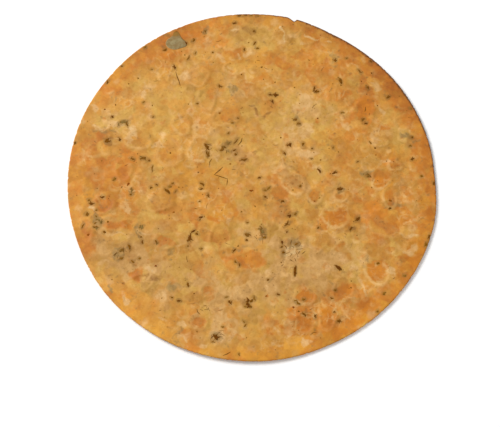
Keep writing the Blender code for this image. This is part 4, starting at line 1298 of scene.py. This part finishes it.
def crumb_beside(fleck, random):
    """A crumb of leaf beside a large fleck."""
    length, width, _ = fleck[2:]
    most_shift, most_aside = CRUMB_SPREAD
    shift = random.uniform(-most_shift, most_shift) * length
    aside = random.uniform(-most_aside, most_aside) * width
    crumb_length = random.uniform(*CRUMB_LENGTH)
    crumb_width = crumb_length * random.uniform(*CRUMB_WIDTH)
    place = (*beside(fleck, shift, aside), crumb_length, crumb_width, random.uniform(0.0, 180.0))
    return scrap(place, CRUMB_FORM, random)


def large_flecks(random):
    """Each large fleck is torn: bent strands along its length, with crumbs of leaf beside them. A
    slim one is a single straight strand."""
    parts, looks = [], []
    for *fleck, look in LARGE_FLECKS:
        length, width, _ = fleck[2:]
        slim = length > SLIM_FROM * width
        count = 1 if slim else 2 + sum(width >= limit for limit in MORE_PARTS_FROM)
        # The first part of a dark fleck is its body, and the rest are strands around it.
        has_body = look < BODY_BELOW_LOOK and width < BODY_BELOW_WIDTH
        first = SLIM_STRAND if slim else BODY if has_body else STRAND
        for kind in [first] + [STRAND] * (count - 1):
            parts.append(torn_part(fleck, kind, random))
            looks.append(look + random.uniform(-0.15, 0.15))
        for _ in range(CRUMBS_BESIDE):
            parts.append(crumb_beside(fleck, random))
            looks.append(look + random.uniform(-0.1, 0.5))
    return parts, looks


def small_flecks(places, random):
    """Each small fleck is one bent scrap."""
    parts = []
    for place in places:
        bend = random.uniform(-0.5, 0.5)
        parts.append(scrap(place, FLECK_FORM, random, bend))
    return parts, random.uniform(0.0, 1.0, len(parts))


def scattered(kind, random):
    """Small scraps anywhere on the bread."""
    count, shortest, longest = kind
    places = []
    for _ in range(count):
        angle = random.uniform(0.0, 2.0 * math.pi)
        distance = SCATTER_RADIUS * math.sqrt(random.uniform(0.0, 1.0))
        length = random.uniform(shortest, longest)
        width = length * random.uniform(0.5, 1.0)
        turn = random.uniform(0.0, 180.0)
        places.append((distance * math.cos(angle), distance * math.sin(angle), length, width, turn))
    return places


def smooth_loop(points, count):
    """count points of a smooth closed curve through the given ones."""
    points = np.array(points)
    places = np.arange(count) * len(points) / count
    found = []
    for place in places:
        index, share = int(place), place % 1.0
        before, start, end, after = (points[(index + step) % len(points)] for step in (-1, 0, 1, 2))
        bend = 2 * before - 5 * start + 4 * end - after
        twist = -before + 3 * start - 3 * end + after
        found.append(start + 0.5 * share * (end - before + share * (bend + share * twist)))
    return np.array(found)


def broad_leaf():
    """One broad piece of leaf, torn at its lower edge, that follows the dough with shallow waves."""
    outline = smooth_loop(LEAF_OUTLINE, LEAF_CORNERS)
    middle = np.array(LEAF_MIDDLE)
    shares = [1.0, *np.linspace(1.0, 0.0, LEAF_RINGS)]
    rings, edges = [], []
    for order, share in enumerate(shares):
        x, y = (middle + share * (outline - middle)).T
        inward = smoothstep(0.0, 0.3, 1.0 - share)
        wave = 0.2 * np.sin(2.4 * x + 0.8 * y) + 0.15 * np.sin(3.1 * y)
        rise = LEAF_RISE * (0.45 + (0.55 + wave) * inward)
        if order == 0:
            rise = np.full(len(x), -LEAF_SUNK)
        rings.append(np.column_stack([x * MM, y * MM, rise]))
        edges.append(np.full(len(x), 1.0 - smoothstep(0.0, LEAF_RIM_SHARE, 1.0 - share)))
    points = np.concatenate([*rings[:-1], rings[-1][:1]])
    edges = np.concatenate([*edges[:-1], edges[-1][:1]])
    return points, mound(LEAF_CORNERS, len(shares) - 1), edges


def broad_leaf_piece():
    leaf = broad_leaf()
    points, faces = on_dough([leaf])
    piece = new_piece("leaf_broad", points, faces, broad_leaf_material())
    x, y, _ = np.array(points).T / MM
    store(piece, "tip", smoothstep(LEAF_GREY_UP_TO - 1.2, LEAF_GREY_UP_TO + 1.4, y))
    side = facing(x - LEAF_MIDDLE[0], y - LEAF_MIDDLE[1], LEAF_DARK_SIDE)
    store(piece, "pale_edge", leaf[2] * smoothstep(0.2, -0.6, side))
    store(piece, "dark_edge", leaf[2] * smoothstep(0.0, 0.7, side))
    return piece


def stalk(path, width):
    """A tapered round stalk through the points of a path, half sunk in the dough."""
    path = np.array(path, float)
    places = np.linspace(0, len(path) - 1, (len(path) - 1) * STALK_STEPS + 1)
    x, y = (np.interp(places, range(len(path)), line) * MM for line in path.T)
    lead = np.gradient(x), np.gradient(y)
    size = np.hypot(*lead)
    side_x, side_y = -lead[1] / size, lead[0] / size
    arch = np.sin(math.pi * np.clip(places / places[-1], 0.03, 0.97))
    radius = 0.5 * width * MM * (STALK_END_SHARE + (1.0 - STALK_END_SHARE) * arch)
    points = []
    for step in range(len(places)):
        for corner in range(STALK_SIDES):
            turn = 2.0 * math.pi * corner / STALK_SIDES
            out = radius[step] * math.cos(turn)
            rise = radius[step] * (math.sin(turn) + STALK_RISE)
            points.append((x[step] + out * side_x[step], y[step] + out * side_y[step], rise))
    end = (len(places) - 1) * STALK_SIDES
    faces = [tuple(range(STALK_SIDES))]
    faces += [(a, d, c, b) for a, b, c, d in bands(STALK_SIDES, len(places))]
    faces.append(tuple(end + corner for corner in reversed(range(STALK_SIDES))))
    return np.array(points), faces, np.zeros(len(points))


def hairlines(random):
    """Thin bits of stalk, a little bent, in the areas of HAIRLINE_AREAS."""
    made = []
    for x, y, radius, count in HAIRLINE_AREAS:
        for _ in range(count):
            angle, turn = random.uniform(0.0, 2.0 * math.pi, 2)
            distance = radius * math.sqrt(random.uniform(0.0, 1.0))
            half = 0.5 * random.uniform(*HAIRLINE_LENGTH)
            bend = random.uniform(-HAIRLINE_BEND, HAIRLINE_BEND) * half
            out_x, out_y = distance * math.cos(angle), distance * math.sin(angle)
            middle = (x + out_x, y + out_y, 0, 0, math.degrees(turn))
            path = [beside(middle, shift, aside) for shift, aside in ((-half, 0), (0, bend), (half, 0))]
            made.append(stalk(path, random.uniform(*HAIRLINE_WIDTH)))
    return made


def fit_to_frame(pieces):
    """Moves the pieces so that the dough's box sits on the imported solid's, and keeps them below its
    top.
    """
    low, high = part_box("khakhra")
    own = np.array([vertex.co for vertex in pieces[0].data.vertices])
    own_low, own_high = own.min(axis=0), own.max(axis=0)
    offset = (np.array(low) + np.array(high) - own_low - own_high) / 2
    offset[2] = low.z - own_low[2]
    for piece in pieces:
        co = np.empty(len(piece.data.vertices) * 3)
        piece.data.vertices.foreach_get("co", co)
        co = co.reshape(-1, 3) + offset
        co[:, 2] = np.minimum(co[:, 2], high.z)
        piece.data.vertices.foreach_set("co", co.ravel())
        piece.data.update()
    return offset


def add_facing(thing, direction):
    """Adds a lamp or camera to the scene, turned to face a direction."""
    thing.rotation_mode = "QUATERNION"
    thing.rotation_quaternion = direction.to_track_quat("-Z", "Y")
    bpy.context.scene.collection.objects.link(thing)


def make_stage():
    corners = [(x * FLOOR_HALF, y * FLOOR_HALF, 0) for x, y in ((-1, -1), (1, -1), (1, 1), (-1, 1))]
    shader = Shader("floor")
    shader.finish(FLOOR_COLOUR, 0.9, 0.1)
    floor = new_piece("floor", corners, [(0, 1, 2, 3)], shader.material)

    world = bpy.data.worlds.new("studio")
    world.use_nodes = True
    world.node_tree.nodes["Background"].inputs["Color"].default_value = (1.0, 1.0, 1.0, 1.0)
    world.node_tree.nodes["Background"].inputs["Strength"].default_value = EVEN_LIGHT
    bpy.context.scene.world = world

    data = bpy.data.lights.new("key", "AREA")
    data.shape = "DISK"
    data.size = LAMP_SIZE
    data.energy = LAMP_POWER
    data.color = LAMP_COLOUR
    lamp = bpy.data.objects.new("key", data)
    lamp.location = LAMP_PLACE
    add_facing(lamp, -Vector(LAMP_PLACE))
    bpy.context.scene.view_settings.view_transform = "Standard"


def make_camera(offset):
    data = bpy.data.cameras.new("camera")
    data.lens = LENS
    data.sensor_width = SENSOR_WIDTH
    camera = bpy.data.objects.new("camera", data)
    target = Vector((CAMERA_TARGET[0] + offset[0], CAMERA_TARGET[1] + offset[1], 0.0))
    elevation = math.radians(CAMERA_ELEVATION)
    back = Vector((0.0, -math.cos(elevation), math.sin(elevation)))
    camera.location = target + back * CAMERA_DISTANCE
    add_facing(camera, -back)
    bpy.context.scene.camera = camera


def main():
    random = np.random.default_rng(LEAF_SEED)
    looks = {name: leaf_material(name) for name in LEAF_COLOURS}
    dough = make_dough()
    broad = broad_leaf_piece()
    large = leaf_piece("leaf_flecks_large", *large_flecks(random), looks["leaf"])
    places = [*SMALL_FLECKS, *scattered(CRUMBS, random)]
    small = leaf_piece("leaf_flecks_small", *small_flecks(places, random), looks["pale_leaf"])
    chillies = leaf_piece("chilli_specks", *small_flecks(CHILLI_SPECKS, random), looks["chilli"])
    places = scattered(TINY_SPECKS, random)
    specks = leaf_piece("tiny_specks", *small_flecks(places, random), looks["pale_leaf"])
    bits = [stalk(*each) for each in STALKS] + hairlines(random)
    stalks = leaf_piece("stalks", bits, random.uniform(0.0, 1.0, len(bits)), looks["stalk"])

    pieces = [dough, broad, large, small, chillies, specks, stalks]
    offset = fit_to_frame(pieces)
    for piece in pieces:
        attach(piece, "root")
    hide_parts("khakhra")

    make_stage()
    make_camera(offset)


main()
